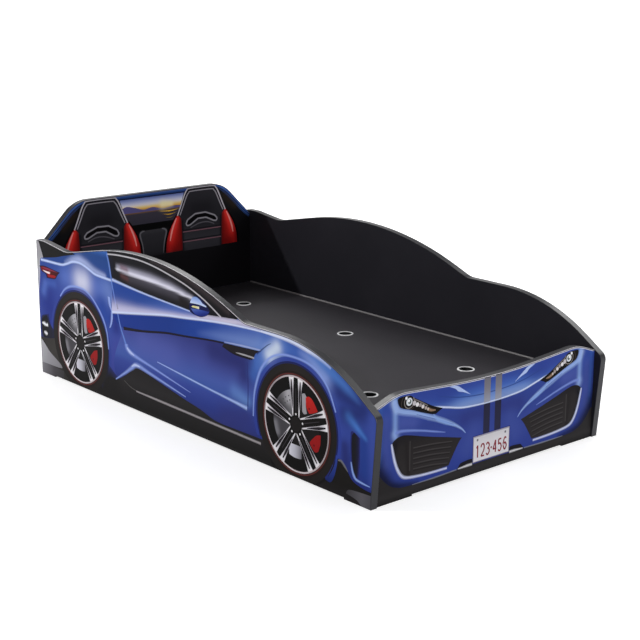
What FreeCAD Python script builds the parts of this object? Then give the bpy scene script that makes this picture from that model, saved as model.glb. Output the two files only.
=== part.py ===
import FreeCAD, Part
import math
import os

from FreeCAD import Placement, Rotation, Vector

# A child's bed in the shape of a low sports car. Two printed side panels carry a printed
# headboard and a printed nose panel between them, held by cam fittings and dowels, and a
# loose deck board lies on battens screwed to the panels.
#
# Frame: X runs from the headboard to the nose, Y from the right side to the left side, and
# Z up. The origin is on the floor, under the middle of the bed's bounding box.
#
# Each body is drawn in a frame of its own: heights are from the floor, lengths along the
# car are from the rear edge, and thicknesses start at the face named in its section.

os.makedirs("parts", exist_ok=True)
doc = FreeCAD.newDocument("car_bed")

# Driving sizes, in millimetres, degrees and counts.
driving_sizes = {
    # the mattress and the room left round it
    "mattress_length": 1300.0,
    "mattress_width": 700.0,
    "mattress_end_room": 28.0,
    "mattress_side_room": 13.4,
    # board stock and its finish
    "panel_thickness": 18.0,
    "print_thickness": 0.3,
    "print_margin": 0.5,
    "band_thickness": 2.0,
    "band_arris_radius": 0.7,
    "foot_relief": 4.0,
    # side panel outline
    "rear_height": 381.0,
    "rear_corner_radius": 6.0,
    "tail_length": 45.0,
    "tail_radius": 80.0,
    "valley_from_rear": 158.0,
    "valley_drop": 13.8,
    "valley_radius": 130.0,
    "roof_rise_angle": 10.8,
    "roof_fall_angle": 21.3,
    "roof_radius": 1040.0,
    "dip_from_nose": 449.0,
    "dip_height": 325.0,
    "dip_radius": 60.0,
    "wing_fall_angle": 33.3,
    "wing_radius": 480.0,
    "nose_corner_height": 206.8,
    "nose_corner_radius": 22.0,
    "nose_slant_angle": 5.0,
    "rear_foot_length": 70.0,
    "front_foot_length": 86.0,
    # headboard outline
    "shoulder_height": 372.0,
    "shoulder_rise": 103.7,
    "shoulder_run": 103.7,
    "head_corner_radius": 100.0,
    "cross_foot_length": 107.0,
    # nose panel outline
    "nose_setback": 21.0,
    "nose_side_height": 219.6,
    "nose_peak_inset": 61.7,
    "nose_peak_rise": 22.2,
    "nose_peak_radius": 136.0,
    "nose_middle_drop": 20.8,
    "nose_middle_radius": 2040.0,
    # deck and its vents
    "deck_top": 155.5,
    "deck_thickness": 16.0,
    "deck_clearance": 1.0,
    "print_above_deck": 2.0,
    "vent_column_spacing": 445.5,
    "vent_row_spacing": 322.0,
    "vent_flange_diameter": 44.0,
    "vent_flange_height": 1.6,
    "vent_bore_diameter": 36.0,
    "vent_sleeve_wall": 1.3,
    "vent_sleeve_length": 13.0,
    "vent_hole_clearance": 0.2,
    # battens under the deck
    "batten_depth": 30.0,
    "batten_height": 40.0,
    "rail_end_gap": 20.0,
    "bearer_end_gap": 1.0,
    "bearer_spacing": 442.0,
    # angle brackets that carry the bearers
    "bracket_leg": 30.0,
    "bracket_height": 32.0,
    "bracket_sheet": 2.0,
    "bracket_screw_pitch": 18.0,
    # countersunk screws through the rails
    "rail_screw_length": 40.0,
    "rail_screw_diameter": 4.0,
    "rail_screw_head_diameter": 8.0,
    "rail_screw_end": 78.0,
    "side_rail_screws": 5,
    "cross_rail_screws": 3,
    "screw_clearance": 0.15,
    "screw_point_length": 4.0,
    "screw_recess_width": 0.8,
    "screw_recess_reach": 1.7,
    "screw_recess_depth": 1.2,
    "blind_hole_clearance": 0.5,
    # pan-head screws through the brackets
    "pan_screw_length": 16.0,
    "pan_screw_diameter": 3.5,
    "pan_screw_head_diameter": 7.0,
    "pan_screw_head_height": 2.4,
    # cam fittings between the side panels and the cross panels
    "cam_diameter": 15.0,
    "cam_height": 12.8,
    "cam_pocket_clearance": 0.1,
    "cam_sink": 0.3,
    "cam_from_joint": 34.0,
    "cam_below_rail": 39.5,
    "head_cam_below_shoulder": 72.0,
    "nose_cam_below_top": 31.6,
    "cam_socket_diameter": 5.4,
    "cam_socket_depth": 3.0,
    "cam_channel_clearance": 0.2,
    "cap_diameter": 17.0,
    "cap_height": 0.8,
    "cap_pin_diameter": 5.0,
    "cap_pin_length": 2.4,
    "bolt_thread_diameter": 6.0,
    "bolt_thread_length": 11.0,
    "bolt_shank_diameter": 6.8,
    "bolt_neck_diameter": 4.6,
    "bolt_head_diameter": 6.6,
    "bolt_head_length": 5.0,
    "bolt_clearance": 0.1,
    # wooden dowels beside the cams
    "dowel_diameter": 8.0,
    "dowel_length": 35.0,
    "dowel_in_side": 12.0,
    "dowel_chamfer": 1.0,
    "dowel_from_cam": 32.0,
}

sheet = doc.addObject("Spreadsheet::Sheet", "Sizes")
for row, (name, number) in enumerate(driving_sizes.items(), start=1):
    sheet.set(f"A{row}", name)
    sheet.set(f"B{row}", str(number))
    sheet.setAlias(f"B{row}", name)
doc.recompute()

# Sizes worked out from the driving ones, as expressions in the document.
worked_sizes = {
    "inside_length": "Sizes.mattress_length + Sizes.mattress_end_room",
    "inside_width": "Sizes.mattress_width + Sizes.mattress_side_room",
    "half_inside": "Worked.inside_width / 2",
    "clad_thickness": "Sizes.panel_thickness + Sizes.print_thickness",
    "overall_length": "Worked.inside_length + 2 * Sizes.panel_thickness + Sizes.nose_setback",
    "rear_x": "(Sizes.cap_height - Worked.overall_length) / 2",
    "deck_start_x": "Worked.rear_x + Sizes.panel_thickness",
    "nose_panel_x": "Worked.deck_start_x + Worked.inside_length",
    "middle_x": "Worked.deck_start_x + Worked.inside_length / 2",
    "deck_length": "Worked.inside_length - 2 * Sizes.deck_clearance",
    "deck_width": "Worked.inside_width - 2 * Sizes.deck_clearance",
    "deck_underside": "Sizes.deck_top - Sizes.deck_thickness",
    "rail_bottom": "Worked.deck_underside - Sizes.batten_height",
    "rail_middle": "Worked.deck_underside - Sizes.batten_height / 2",
    "side_rail_length": "Worked.inside_length - 2 * Sizes.rail_end_gap",
    "cross_rail_length": "Worked.inside_width - 2 * Sizes.batten_depth - 2 * Sizes.bearer_end_gap",
    "lower_cam_height": "Worked.rail_bottom - Sizes.cam_below_rail",
    "head_cam_height": "Sizes.shoulder_height - Sizes.head_cam_below_shoulder",
    "nose_cam_height": "Sizes.nose_side_height - Sizes.nose_cam_below_top",
    "cam_axis_depth": "Sizes.panel_thickness / 2",
    "bolt_bore_diameter": "Sizes.bolt_shank_diameter + 2 * Sizes.bolt_clearance",
    "vent_sleeve_diameter": "Sizes.vent_bore_diameter + 2 * Sizes.vent_sleeve_wall",
    "vent_hole_diameter": "Worked.vent_sleeve_diameter + 2 * Sizes.vent_hole_clearance",
}

worked = doc.addObject("App::VarSet", "Worked")
for name, expression in worked_sizes.items():
    worked.addProperty("App::PropertyFloat", name)
    worked.setExpression(name, expression)
doc.recompute()


def size(name):
    """A driving size from the sheet, or a size worked out from them."""
    if name in driving_sizes:
        return float(sheet.get(name))
    return float(getattr(worked, name))


# ---- outlines ---------------------------------------------------------------------------

# the share of an edge that the arcs at its two ends may take up
arc_share = 0.98
# places closer than this are the same place
touching = 0.01
# a pocket removes at least this much, in cubic millimetres
smallest_cut = 1.0


def crossing(start_a, direction_a, start_b, direction_b):
    """Where two lines in a plane meet."""
    spread = direction_a[0] * direction_b[1] - direction_a[1] * direction_b[0]
    gap = (start_b[0] - start_a[0], start_b[1] - start_a[1])
    along = (gap[0] * direction_b[1] - gap[1] * direction_b[0]) / spread
    return (start_a[0] + along * direction_a[0], start_a[1] + along * direction_a[1])


def heading(start, end):
    """Unit direction from one corner to the next."""
    length = math.hypot(end[0] - start[0], end[1] - start[1])
    return ((end[0] - start[0]) / length, (end[1] - start[1]) / length)


def rounded_outline(corners):
    """Closed run of lines and tangent arcs through corners given as (across, up, radius)."""
    count = len(corners)
    ways = [heading(corners[i], corners[(i + 1) % count]) for i in range(count)]
    tangents = []
    for i, corner in enumerate(corners):
        before, after = ways[i - 1], ways[i]
        turn = math.atan2(before[0] * after[1] - before[1] * after[0],
                          before[0] * after[0] + before[1] * after[1])
        tangents.append(corner[2] * math.tan(abs(turn) / 2))
    # an arc is no larger than the edges beside it allow
    limits = [1.0] * count
    for i in range(count):
        j = (i + 1) % count
        room = math.dist(corners[i][:2], corners[j][:2]) * arc_share
        wanted = tangents[i] + tangents[j]
        if wanted > room:
            limits[i] = min(limits[i], room / wanted)
            limits[j] = min(limits[j], room / wanted)
    tangents = [tangent * limit for tangent, limit in zip(tangents, limits)]

    pieces = []
    ends = []
    for i, (across, up, _) in enumerate(corners):
        before, after, tangent = ways[i - 1], ways[i], tangents[i]
        start = Vector(across - before[0] * tangent, up - before[1] * tangent, 0)
        end = Vector(across + after[0] * tangent, up + after[1] * tangent, 0)
        ends.append((start, end))
        if tangent > 0:
            inward = Vector(after[0] - before[0], after[1] - before[1], 0)
            inward.normalize()
            half_turn = (start - Vector(across, up, 0)).getAngle(end - Vector(across, up, 0)) / 2
            radius = tangent * math.tan(half_turn)
            reach = math.hypot(tangent, radius) - radius
            pieces.append(Part.Arc(start, Vector(across, up, 0) + inward * reach, end))
    for i in range(count):
        pieces.append(Part.LineSegment(ends[i][1], ends[(i + 1) % count][0]))
    return pieces


def inset_corners(corners, insets):
    """The same outline, drawn anticlockwise, with each edge moved inwards by its own inset."""
    count = len(corners)
    moved = []
    for i, corner in enumerate(corners):
        before = heading(corners[i - 1], corner)
        after = heading(corner, corners[(i + 1) % count])
        inset_before, inset_after = insets[i - 1], insets[i]
        start_before = (corner[0] - before[1] * inset_before, corner[1] + before[0] * inset_before)
        start_after = (corner[0] - after[1] * inset_after, corner[1] + after[0] * inset_after)
        point = crossing(start_before, before, start_after, after)
        bend = before[0] * after[1] - before[1] * after[0]
        change = -inset_before if bend > 0 else inset_before
        radius = max(corner[2] + change, 0.0) if corner[2] > 0 else 0.0
        moved.append((point[0], point[1], radius))
    return moved


def banded(corners, first, last):
    """The corners of a strip along the edges from one corner to another, inside the outline."""
    count = len(corners)
    inner = inset_corners(corners, edge_insets(count, first, last, size("band_thickness"), 0.0))
    path = [i % count for i in range(first, last + 1)]
    outer_corners = [corners[i] for i in path]
    inner_corners = [inner[i] for i in reversed(path)]
    return outer_corners + inner_corners


def edge_insets(count, first, last, on_band, elsewhere):
    """One inset for each edge: those from corner first to corner last carry the band."""
    carrying = {i % count for i in range(first, last)}
    return [on_band if i in carrying else elsewhere for i in range(count)]


def nose_corner():
    """Sharp corner inside which the rounded one just reaches the overall length, and the toe."""
    slant = math.radians(size("nose_slant_angle"))
    turn_angle = math.pi / 2 - math.radians(size("wing_fall_angle")) + slant
    radius = size("nose_corner_radius")
    cut_off = radius * (math.tan(turn_angle / 2) * math.sin(slant) - 1 + math.cos(slant))
    corner = size("overall_length") + cut_off
    toe = corner - size("nose_corner_height") * math.tan(slant)
    return corner, toe


def side_foot_corners():
    """Side panel's floor edge, seen with the nose to the right, from the rear to the toe."""
    toe = nose_corner()[1]
    relief = size("foot_relief")
    return [
        (0.0, 0.0, 0.0),
        (size("rear_foot_length"), 0.0, 0.0),
        (size("rear_foot_length"), relief, 0.0),
        (toe - size("front_foot_length"), relief, 0.0),
        (toe - size("front_foot_length"), 0.0, 0.0),
        (toe, 0.0, 0.0),
    ]


def side_top_corners():
    """The rest of the side panel, from the nose over the roof to the tail."""
    corner = nose_corner()[0]
    valley = (size("valley_from_rear"), size("rear_height") - size("valley_drop"))
    dip = (size("overall_length") - size("dip_from_nose"), size("dip_height"))
    rise = math.radians(size("roof_rise_angle"))
    fall = math.radians(size("roof_fall_angle"))
    roof = crossing(valley, (math.cos(rise), math.sin(rise)), dip, (-math.cos(fall), math.sin(fall)))
    wing_run = (size("dip_height") - size("nose_corner_height")) / math.tan(
        math.radians(size("wing_fall_angle")))
    return [
        (corner, size("nose_corner_height"), size("nose_corner_radius")),
        (corner - wing_run, size("dip_height"), size("wing_radius")),
        (dip[0], dip[1], size("dip_radius")),
        (roof[0], roof[1], size("roof_radius")),
        (valley[0], valley[1], size("valley_radius")),
        (size("tail_length"), size("rear_height"), size("tail_radius")),
        (0.0, size("rear_height"), size("rear_corner_radius")),
    ]


def side_corners():
    """Side panel's whole outline, anticlockwise, and the corners its band runs between."""
    foot = side_foot_corners()
    corners = foot + side_top_corners()
    return corners, len(foot) - 1, len(corners)


def cross_foot_corners():
    """The floor edge that the headboard and the nose panel share, from right to left."""
    half = size("half_inside")
    foot = size("cross_foot_length")
    relief = size("foot_relief")
    return [
        (-half, 0.0, 0.0),
        (foot - half, 0.0, 0.0),
        (foot - half, relief, 0.0),
        (half - foot, relief, 0.0),
        (half - foot, 0.0, 0.0),
        (half, 0.0, 0.0),
    ]


def head_top_corners():
    """Headboard's upper edge, from the left shoulder over the top to the right one."""
    half = size("half_inside")
    top = size("shoulder_height") + size("shoulder_rise")
    top_half = half - size("shoulder_run")
    return [
        (half, size("shoulder_height"), 0.0),
        (top_half, top, size("head_corner_radius")),
        (-top_half, top, size("head_corner_radius")),
        (-half, size("shoulder_height"), 0.0),
    ]


def nose_top_corners():
    """Nose panel's upper edge: a hump over each lamp and a long hollow between them."""
    half = size("half_inside")
    peak_across = half - size("nose_peak_inset")
    peak = size("nose_side_height") + size("nose_peak_rise")
    return [
        (half, size("nose_side_height"), 0.0),
        (peak_across, peak, size("nose_peak_radius")),
        (0.0, peak - size("nose_middle_drop"), size("nose_middle_radius")),
        (-peak_across, peak, size("nose_peak_radius")),
        (-half, size("nose_side_height"), 0.0),
    ]


def rectangle(left, bottom, right, top):
    return [(left, bottom, 0.0), (right, bottom, 0.0), (right, top, 0.0), (left, top, 0.0)]


def circle(across, up, diameter):
    return Part.Circle(Vector(across, up, 0), Vector(0, 0, 1), diameter / 2)


def closed_run(points):
    """Straight edges through a closed list of points."""
    ends = points[1:] + points[:1]
    return [Part.LineSegment(Vector(*start, 0), Vector(*end, 0)) for start, end in zip(points, ends)]


# ---- features ---------------------------------------------------------------------------

nodes = []


def add_body(name, is_node=True):
    """An empty body. Bodies that are nodes of the bed are written out at the end."""
    body = doc.addObject("PartDesign::Body", name)
    body.Label = name
    if is_node:
        nodes.append(body)
    return body


def add_sketch(body, name, role, geometry, shift=None):
    """A sketch on one of the body's own planes, moved along the plane's normal by shift."""
    sketch = body.newObject("Sketcher::SketchObject", name)
    plane = next(feature for feature in body.Origin.OriginFeatures if feature.Role == role)
    sketch.AttachmentSupport = [(plane, "")]
    sketch.MapMode = "FlatFace"
    if shift:
        sketch.setExpression("AttachmentOffset.Base.z", shift)
    for piece in geometry:
        sketch.addGeometry(piece, False)
    return sketch


def add_pad(body, name, sketch, length, backwards=False):
    pad = body.newObject("PartDesign::Pad", name)
    pad.Profile = sketch
    pad.setExpression("Length", length)
    pad.Reversed = backwards
    doc.recompute()
    return pad


def add_pocket(body, name, sketch, length, backwards=False):
    """Cuts to a depth. A pocket that removes nothing points the wrong way."""
    before = body.Shape.Volume
    pocket = body.newObject("PartDesign::Pocket", name)
    pocket.Profile = sketch
    pocket.setExpression("Length", length)
    pocket.Reversed = backwards
    doc.recompute()
    if body.Shape.Volume > before - smallest_cut:
        raise RuntimeError(f"{name} cuts nothing")
    return pocket


def add_revolution(body, name, sketch):
    """Turns a sketch about its vertical axis."""
    revolution = body.newObject("PartDesign::Revolution", name)
    revolution.Profile = sketch
    revolution.ReferenceAxis = (sketch, ["V_Axis"])
    revolution.Angle = 360
    doc.recompute()
    return revolution


def add_edge_treatment(body, kind, name, edges, expression):
    """A fillet or chamfer on the named edges of the body's last feature."""
    treatment = body.newObject(kind, name)
    treatment.Base = (treatment.BaseFeature, edges)
    treatment.setExpression("Radius" if kind.endswith("Fillet") else "Size", expression)
    doc.recompute()
    return treatment


def place(thing, along="0", across="0", up="0"):
    """Binds a body's place in the bed to the sizes."""
    thing.setExpression("Placement.Base.x", along)
    thing.setExpression("Placement.Base.y", across)
    thing.setExpression("Placement.Base.z", up)


def turn(thing, axis, angle):
    thing.Placement = Placement(Vector(), Rotation(axis, angle))


def round_arris(body, name, corners, role, depths):
    """Rounds the long edges of a strip that lie on the outline, at its two depths."""
    outline = [piece.toShape() for piece in rounded_outline(corners)]
    shortest = 3 * size("band_thickness")
    edges = []
    for number, edge in enumerate(body.Shape.Edges, start=1):
        middle = edge.valueAt((edge.FirstParameter + edge.LastParameter) / 2)
        depth, across = (middle.y, middle.x) if role == "XZ_Plane" else (middle.x, middle.y)
        if edge.Length < shortest or min(abs(depth - side_depth) for side_depth in depths) > touching:
            continue
        flat = Part.Vertex(Vector(across, middle.z, 0))
        if min(piece.distToShape(flat)[0] for piece in outline) < touching:
            edges.append(f"Edge{number}")
    add_edge_treatment(body, "PartDesign::Fillet", name, edges, "Sizes.band_arris_radius")


def evenly(first, last, count):
    """Evenly spaced places from first to last, with both ends."""
    steps = max(int(count) - 1, 1)
    return [first + (last - first) * i / steps for i in range(int(count))]


def group(name, template, placements):
    """Identical fasteners as one node of separate solids, copied from one template."""
    node = doc.addObject("Part::Feature", name)
    node.Label = name
    node.Shape = Part.Compound([template.Shape.copy().transformed(placement.toMatrix(), True)
                                for placement in placements])
    node.Placement = Placement()
    nodes.append(node)
    return node


# ---- where the fittings go --------------------------------------------------------------

right, left = -1, 1
sides = {"right": right, "left": left}
up_axis = Vector(0, 0, 1)


def head_fittings():
    """Heights of the headboard's cams and dowels."""
    cams = [size("lower_cam_height"), size("head_cam_height")]
    step = size("dowel_from_cam")
    return cams, [cams[0] + step, cams[1] - step]


def nose_fittings():
    """Heights of the nose panel's cams and dowels."""
    cams = [size("lower_cam_height"), size("nose_cam_height")]
    step = size("dowel_from_cam")
    return cams, [cams[0] + step, cams[1] - step]


def side_rail_stations():
    """Screw places along a side rail, from the rear edge of the bed."""
    start = size("panel_thickness") + size("rail_end_gap")
    end = start + size("side_rail_length")
    return evenly(start + size("rail_screw_end"), end - size("rail_screw_end"), size("side_rail_screws"))


def cross_rail_stations():
    """Screw places along a cross rail, from the middle of the bed."""
    reach = size("cross_rail_length") / 2 - size("rail_screw_end")
    return evenly(-reach, reach, size("cross_rail_screws"))


def cross_joint_stations():
    """Where the bolts and dowels of the two cross panels enter a side panel, from the rear."""
    head_x = size("cam_axis_depth")
    nose_x = size("nose_panel_x") - size("rear_x") + size("panel_thickness") - size("cam_axis_depth")
    return {head_x: head_fittings(), nose_x: nose_fittings()}


# ---- side panels ------------------------------------------------------------------------
# Local frame: X from the rear edge, Y = 0 at the face towards the mattress.


def make_side_panel(side_name, side):
    corners, first, last = side_corners()
    insets = edge_insets(len(corners), first, last, size("band_thickness"), 0.0)
    outward = side == left
    body = add_body(f"{side_name}_side_panel")
    outline = add_sketch(body, f"{side_name}_side_outline", "XZ_Plane",
                         rounded_outline(inset_corners(corners, insets)))
    add_pad(body, f"{side_name}_side_board", outline, "Sizes.panel_thickness", backwards=outward)

    bolts, dowels, pilots = [], [], []
    for station, (cam_heights, dowel_heights) in cross_joint_stations().items():
        bolts += [circle(station, height, size("bolt_thread_diameter")) for height in cam_heights]
        dowels += [circle(station, height, size("dowel_diameter")) for height in dowel_heights]
    for station in side_rail_stations():
        pilots.append(circle(station, size("rail_middle"), size("rail_screw_diameter")))
    bores = {
        "bolt_holes": (bolts, "Sizes.bolt_thread_length + Sizes.blind_hole_clearance"),
        "dowel_holes": (dowels, "Sizes.dowel_in_side + Sizes.blind_hole_clearance"),
        "screw_pilots": (pilots, "Sizes.rail_screw_length - Sizes.batten_depth"
                                 " + Sizes.blind_hole_clearance"),
    }
    for bore_name, (circles, depth) in bores.items():
        sketch = add_sketch(body, f"{side_name}_side_{bore_name}_plan", "XZ_Plane", circles)
        add_pocket(body, f"{side_name}_side_{bore_name}", sketch, depth, backwards=not outward)
    place(body, "Worked.rear_x", f"{side} * Worked.half_inside")
    return body


def make_side_print(side_name, side):
    """Printed film on the outer face, a little short of the bands and of the floor."""
    corners, first, last = side_corners()
    margin = size("print_margin")
    insets = edge_insets(len(corners), first, last, size("band_thickness") + margin, margin)
    body = add_body(f"{side_name}_side_print")
    outline = add_sketch(body, f"{side_name}_side_film_outline", "XZ_Plane",
                         rounded_outline(inset_corners(corners, insets)))
    add_pad(body, f"{side_name}_side_film", outline, "Sizes.print_thickness", backwards=side == left)
    place(body, "Worked.rear_x", f"{side} * (Worked.half_inside + Sizes.panel_thickness)")


def make_side_band(side_name, side):
    """Plastic edge band up the nose, over the roof line and down the rear."""
    corners, first, last = side_corners()
    body = add_body(f"{side_name}_side_edge_band")
    outline = add_sketch(body, f"{side_name}_side_strip_outline", "XZ_Plane",
                         rounded_outline(banded(corners, first, last)))
    add_pad(body, f"{side_name}_side_strip", outline, "Worked.clad_thickness", backwards=side == left)
    round_arris(body, f"{side_name}_side_strip_arris", corners, "XZ_Plane",
                (0.0, side * size("clad_thickness")))
    place(body, "Worked.rear_x", f"{side} * Worked.half_inside")


# ---- headboard and nose panel -----------------------------------------------------------
# Local frame: X = 0 at the face that carries the cams, which is the one that hides them:
# the headboard's rear face and the nose panel's face towards the mattress. Y = 0 is the
# middle of the bed.


def add_cam_bores(body, name, fittings):
    """Cam pockets in the face, and bolt and dowel bores in from both ends."""
    cam_heights, dowel_heights = fittings
    cam_across = size("half_inside") - size("cam_from_joint")
    pocket_diameter = size("cam_diameter") + 2 * size("cam_pocket_clearance")
    pockets = [circle(side * cam_across, height, pocket_diameter)
               for side in (right, left) for height in cam_heights]
    sketch = add_sketch(body, f"{name}_cam_plan", "YZ_Plane", pockets)
    add_pocket(body, f"{name}_cam_pockets", sketch, "Sizes.cam_sink + Sizes.cam_height", backwards=True)

    depth = size("cam_axis_depth")
    bores = {
        "bolt_bores": (cam_heights, size("bolt_bore_diameter"), "Sizes.cam_from_joint"),
        "dowel_bores": (dowel_heights, size("dowel_diameter"),
                        "Sizes.dowel_length - Sizes.dowel_in_side + Sizes.blind_hole_clearance"),
    }
    for side_name, side in sides.items():
        for bore_name, (heights, diameter, length) in bores.items():
            circles = [circle(depth, height, diameter) for height in heights]
            plan = add_sketch(body, f"{name}_{side_name}_{bore_name}_plan", "XZ_Plane", circles,
                              shift=f"{-side} * Worked.half_inside")
            add_pocket(body, f"{name}_{side_name}_{bore_name}", plan, length, backwards=side == left)


def add_rail_pilots(body, name, shift, backwards):
    """Blind holes for the cross rail's screws, in the face that carries the rail."""
    circles = [circle(station, size("rail_middle"), size("rail_screw_diameter"))
               for station in cross_rail_stations()]
    sketch = add_sketch(body, f"{name}_pilot_plan", "YZ_Plane", circles, shift=shift)
    depth = "Sizes.rail_screw_length - Sizes.batten_depth + Sizes.blind_hole_clearance"
    add_pocket(body, f"{name}_screw_pilots", sketch, depth, backwards=backwards)


def cross_board(name, top_corners):
    """Board between the side panels, inside the band on its upper edge."""
    corners = cross_foot_corners() + top_corners
    first = len(corners) - len(top_corners)
    insets = edge_insets(len(corners), first, len(corners) - 1, size("band_thickness"), 0.0)
    body = add_body(f"{name}_panel")
    outline = add_sketch(body, f"{name}_outline", "YZ_Plane",
                         rounded_outline(inset_corners(corners, insets)))
    add_pad(body, f"{name}_board", outline, "Sizes.panel_thickness")
    return body


def cross_band(name, top_corners):
    """Plastic edge band over the upper edge of a cross panel."""
    corners = cross_foot_corners() + top_corners
    first = len(corners) - len(top_corners)
    body = add_body(f"{name}_edge_band")
    outline = add_sketch(body, f"{name}_strip_outline", "YZ_Plane",
                         rounded_outline(banded(corners, first, len(corners) - 1)))
    add_pad(body, f"{name}_strip", outline, "Worked.clad_thickness")
    round_arris(body, f"{name}_strip_arris", corners, "YZ_Plane", (0.0, size("clad_thickness")))
    return body


def cross_print(name, lower_corners, top_corners):
    """Printed film on a cross panel, a little short of its edges."""
    corners = lower_corners + top_corners
    first = len(corners) - len(top_corners)
    margin = size("print_margin")
    insets = edge_insets(len(corners), first, len(corners) - 1, size("band_thickness") + margin, margin)
    body = add_body(f"{name}_print")
    outline = add_sketch(body, f"{name}_film_outline", "YZ_Plane",
                         rounded_outline(inset_corners(corners, insets)))
    add_pad(body, f"{name}_film", outline, "Sizes.print_thickness")
    return body


def make_headboard():
    board = cross_board("headboard", head_top_corners())
    add_cam_bores(board, "headboard", head_fittings())
    add_rail_pilots(board, "headboard", "Sizes.panel_thickness", backwards=False)
    place(board, "Worked.rear_x")
    place(cross_band("headboard", head_top_corners()), "Worked.rear_x")
    half = size("half_inside")
    above_deck = size("deck_top") + size("print_above_deck") - size("print_margin")
    lower = [(-half, above_deck, 0.0), (half, above_deck, 0.0)]
    place(cross_print("headboard", lower, head_top_corners()), "Worked.deck_start_x")


def make_nose():
    board = cross_board("nose", nose_top_corners())
    add_cam_bores(board, "nose", nose_fittings())
    add_rail_pilots(board, "nose", "0", backwards=True)
    place(board, "Worked.nose_panel_x")
    place(cross_band("nose", nose_top_corners()), "Worked.nose_panel_x")
    film = cross_print("nose", cross_foot_corners(), nose_top_corners())
    place(film, "Worked.nose_panel_x + Sizes.panel_thickness")


# ---- deck -------------------------------------------------------------------------------
# Local frame: origin at the middle of the deck, Z = 0 at its underside.


def vent_centres():
    column, row = size("vent_column_spacing"), size("vent_row_spacing")
    return [(along * column, across * row / 2) for across in (right, left) for along in (-1, 0, 1)]


def make_deck():
    half_length = size("deck_length") / 2
    half_width = size("deck_width") / 2
    band = size("band_thickness")
    whole = rectangle(-half_length, -half_width, half_length, half_width)
    inner = rectangle(band - half_length, band - half_width, half_length - band, half_width - band)
    deck_middle = ("Worked.middle_x", "0", "Worked.deck_underside")

    board = add_body("deck_board")
    add_pad(board, "deck_blank", add_sketch(board, "deck_outline", "XY_Plane", rounded_outline(inner)),
            "Sizes.deck_thickness")
    holes = [circle(along, across, size("vent_hole_diameter")) for along, across in vent_centres()]
    add_pocket(board, "deck_vent_holes", add_sketch(board, "deck_vent_plan", "XY_Plane", holes),
               "Sizes.deck_thickness", backwards=True)
    place(board, *deck_middle)

    edging = add_body("deck_edge_band")
    strip = add_sketch(edging, "deck_strip_outline", "XY_Plane",
                       rounded_outline(whole) + rounded_outline(inner))
    add_pad(edging, "deck_strip", strip, "Sizes.deck_thickness")
    place(edging, *deck_middle)


def make_vent_rings():
    """Plastic grommets pressed into the deck, flange up."""
    bore = size("vent_bore_diameter") / 2
    sleeve = size("vent_sleeve_diameter") / 2
    flange = size("vent_flange_diameter") / 2
    height = size("vent_flange_height")
    profile = [(bore, -size("vent_sleeve_length")), (sleeve, -size("vent_sleeve_length")), (sleeve, 0.0),
               (flange, 0.0), (flange, height / 2), (flange - height / 2, height), (bore, height)]
    for number, (along, across) in enumerate(vent_centres(), start=1):
        body = add_body(f"deck_vent_ring_{number}")
        section = add_sketch(body, f"vent_ring_section_{number}", "XZ_Plane", closed_run(profile))
        add_revolution(body, f"vent_ring_{number}", section)
        column = round(along / size("vent_column_spacing"))
        row = round(2 * across / size("vent_row_spacing"))
        place(body, f"Worked.middle_x + {column} * Sizes.vent_column_spacing",
              f"{row} * Sizes.vent_row_spacing / 2", "Sizes.deck_top")


# ---- battens ----------------------------------------------------------------------------
# Local frame: X along the batten from its middle, Y = 0 at the face that is screwed to the
# panel, Z = 0 at the underside.


bracket_pilot_depth = "Sizes.pan_screw_length - Sizes.bracket_sheet + Sizes.blind_hole_clearance"


def bracket_screw_heights():
    """Heights of a leg's two screws above the bracket's foot."""
    middle = size("bracket_height") / 2
    return [middle - size("bracket_screw_pitch") / 2, middle + size("bracket_screw_pitch") / 2]


def bracket_pilot_heights():
    """Heights of the same screws above a batten's underside, with the bracket half-way up it."""
    foot = (size("batten_height") - size("bracket_height")) / 2
    return [foot + height for height in bracket_screw_heights()]


def make_rail(name, length, stations, quarter_turns, along, across, carries_bearers=False):
    """A batten with countersunk screw holes through it, and pilots where brackets meet it."""
    body = add_body(name)
    half = size(length) / 2
    section = rectangle(-half, 0.0, half, size("batten_depth"))
    add_pad(body, f"{name}_blank", add_sketch(body, f"{name}_plan", "XY_Plane", rounded_outline(section)),
            "Sizes.batten_height")
    hole = size("rail_screw_diameter") + 2 * size("screw_clearance")
    height = size("batten_height") / 2
    circles = [circle(station, height, hole) for station in stations]
    sketch = add_sketch(body, f"{name}_hole_plan", "XZ_Plane", circles)
    add_pocket(body, f"{name}_holes", sketch, "Sizes.batten_depth")
    open_face = size("batten_depth") - touching
    rims = [f"Edge{number}" for number, edge in enumerate(body.Shape.Edges, start=1)
            if isinstance(edge.Curve, Part.Circle) and edge.CenterOfMass.y > open_face]
    add_edge_treatment(body, "PartDesign::Chamfer", f"{name}_countersinks", rims,
                       "(Sizes.rail_screw_head_diameter - Sizes.rail_screw_diameter) / 2")
    if carries_bearers:
        reach = (size("bearer_spacing") + size("batten_depth") + size("bracket_leg")) / 2
        pilots = [circle(end * reach, height, size("pan_screw_diameter"))
                  for end in (-1, 1) for height in bracket_pilot_heights()]
        plan = add_sketch(body, f"{name}_pilot_plan", "XZ_Plane", pilots, shift="-Sizes.batten_depth")
        add_pocket(body, f"{name}_pilots", plan, bracket_pilot_depth, backwards=True)
    turn(body, up_axis, 90 * quarter_turns)
    place(body, along, across, "Worked.rail_bottom")


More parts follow.
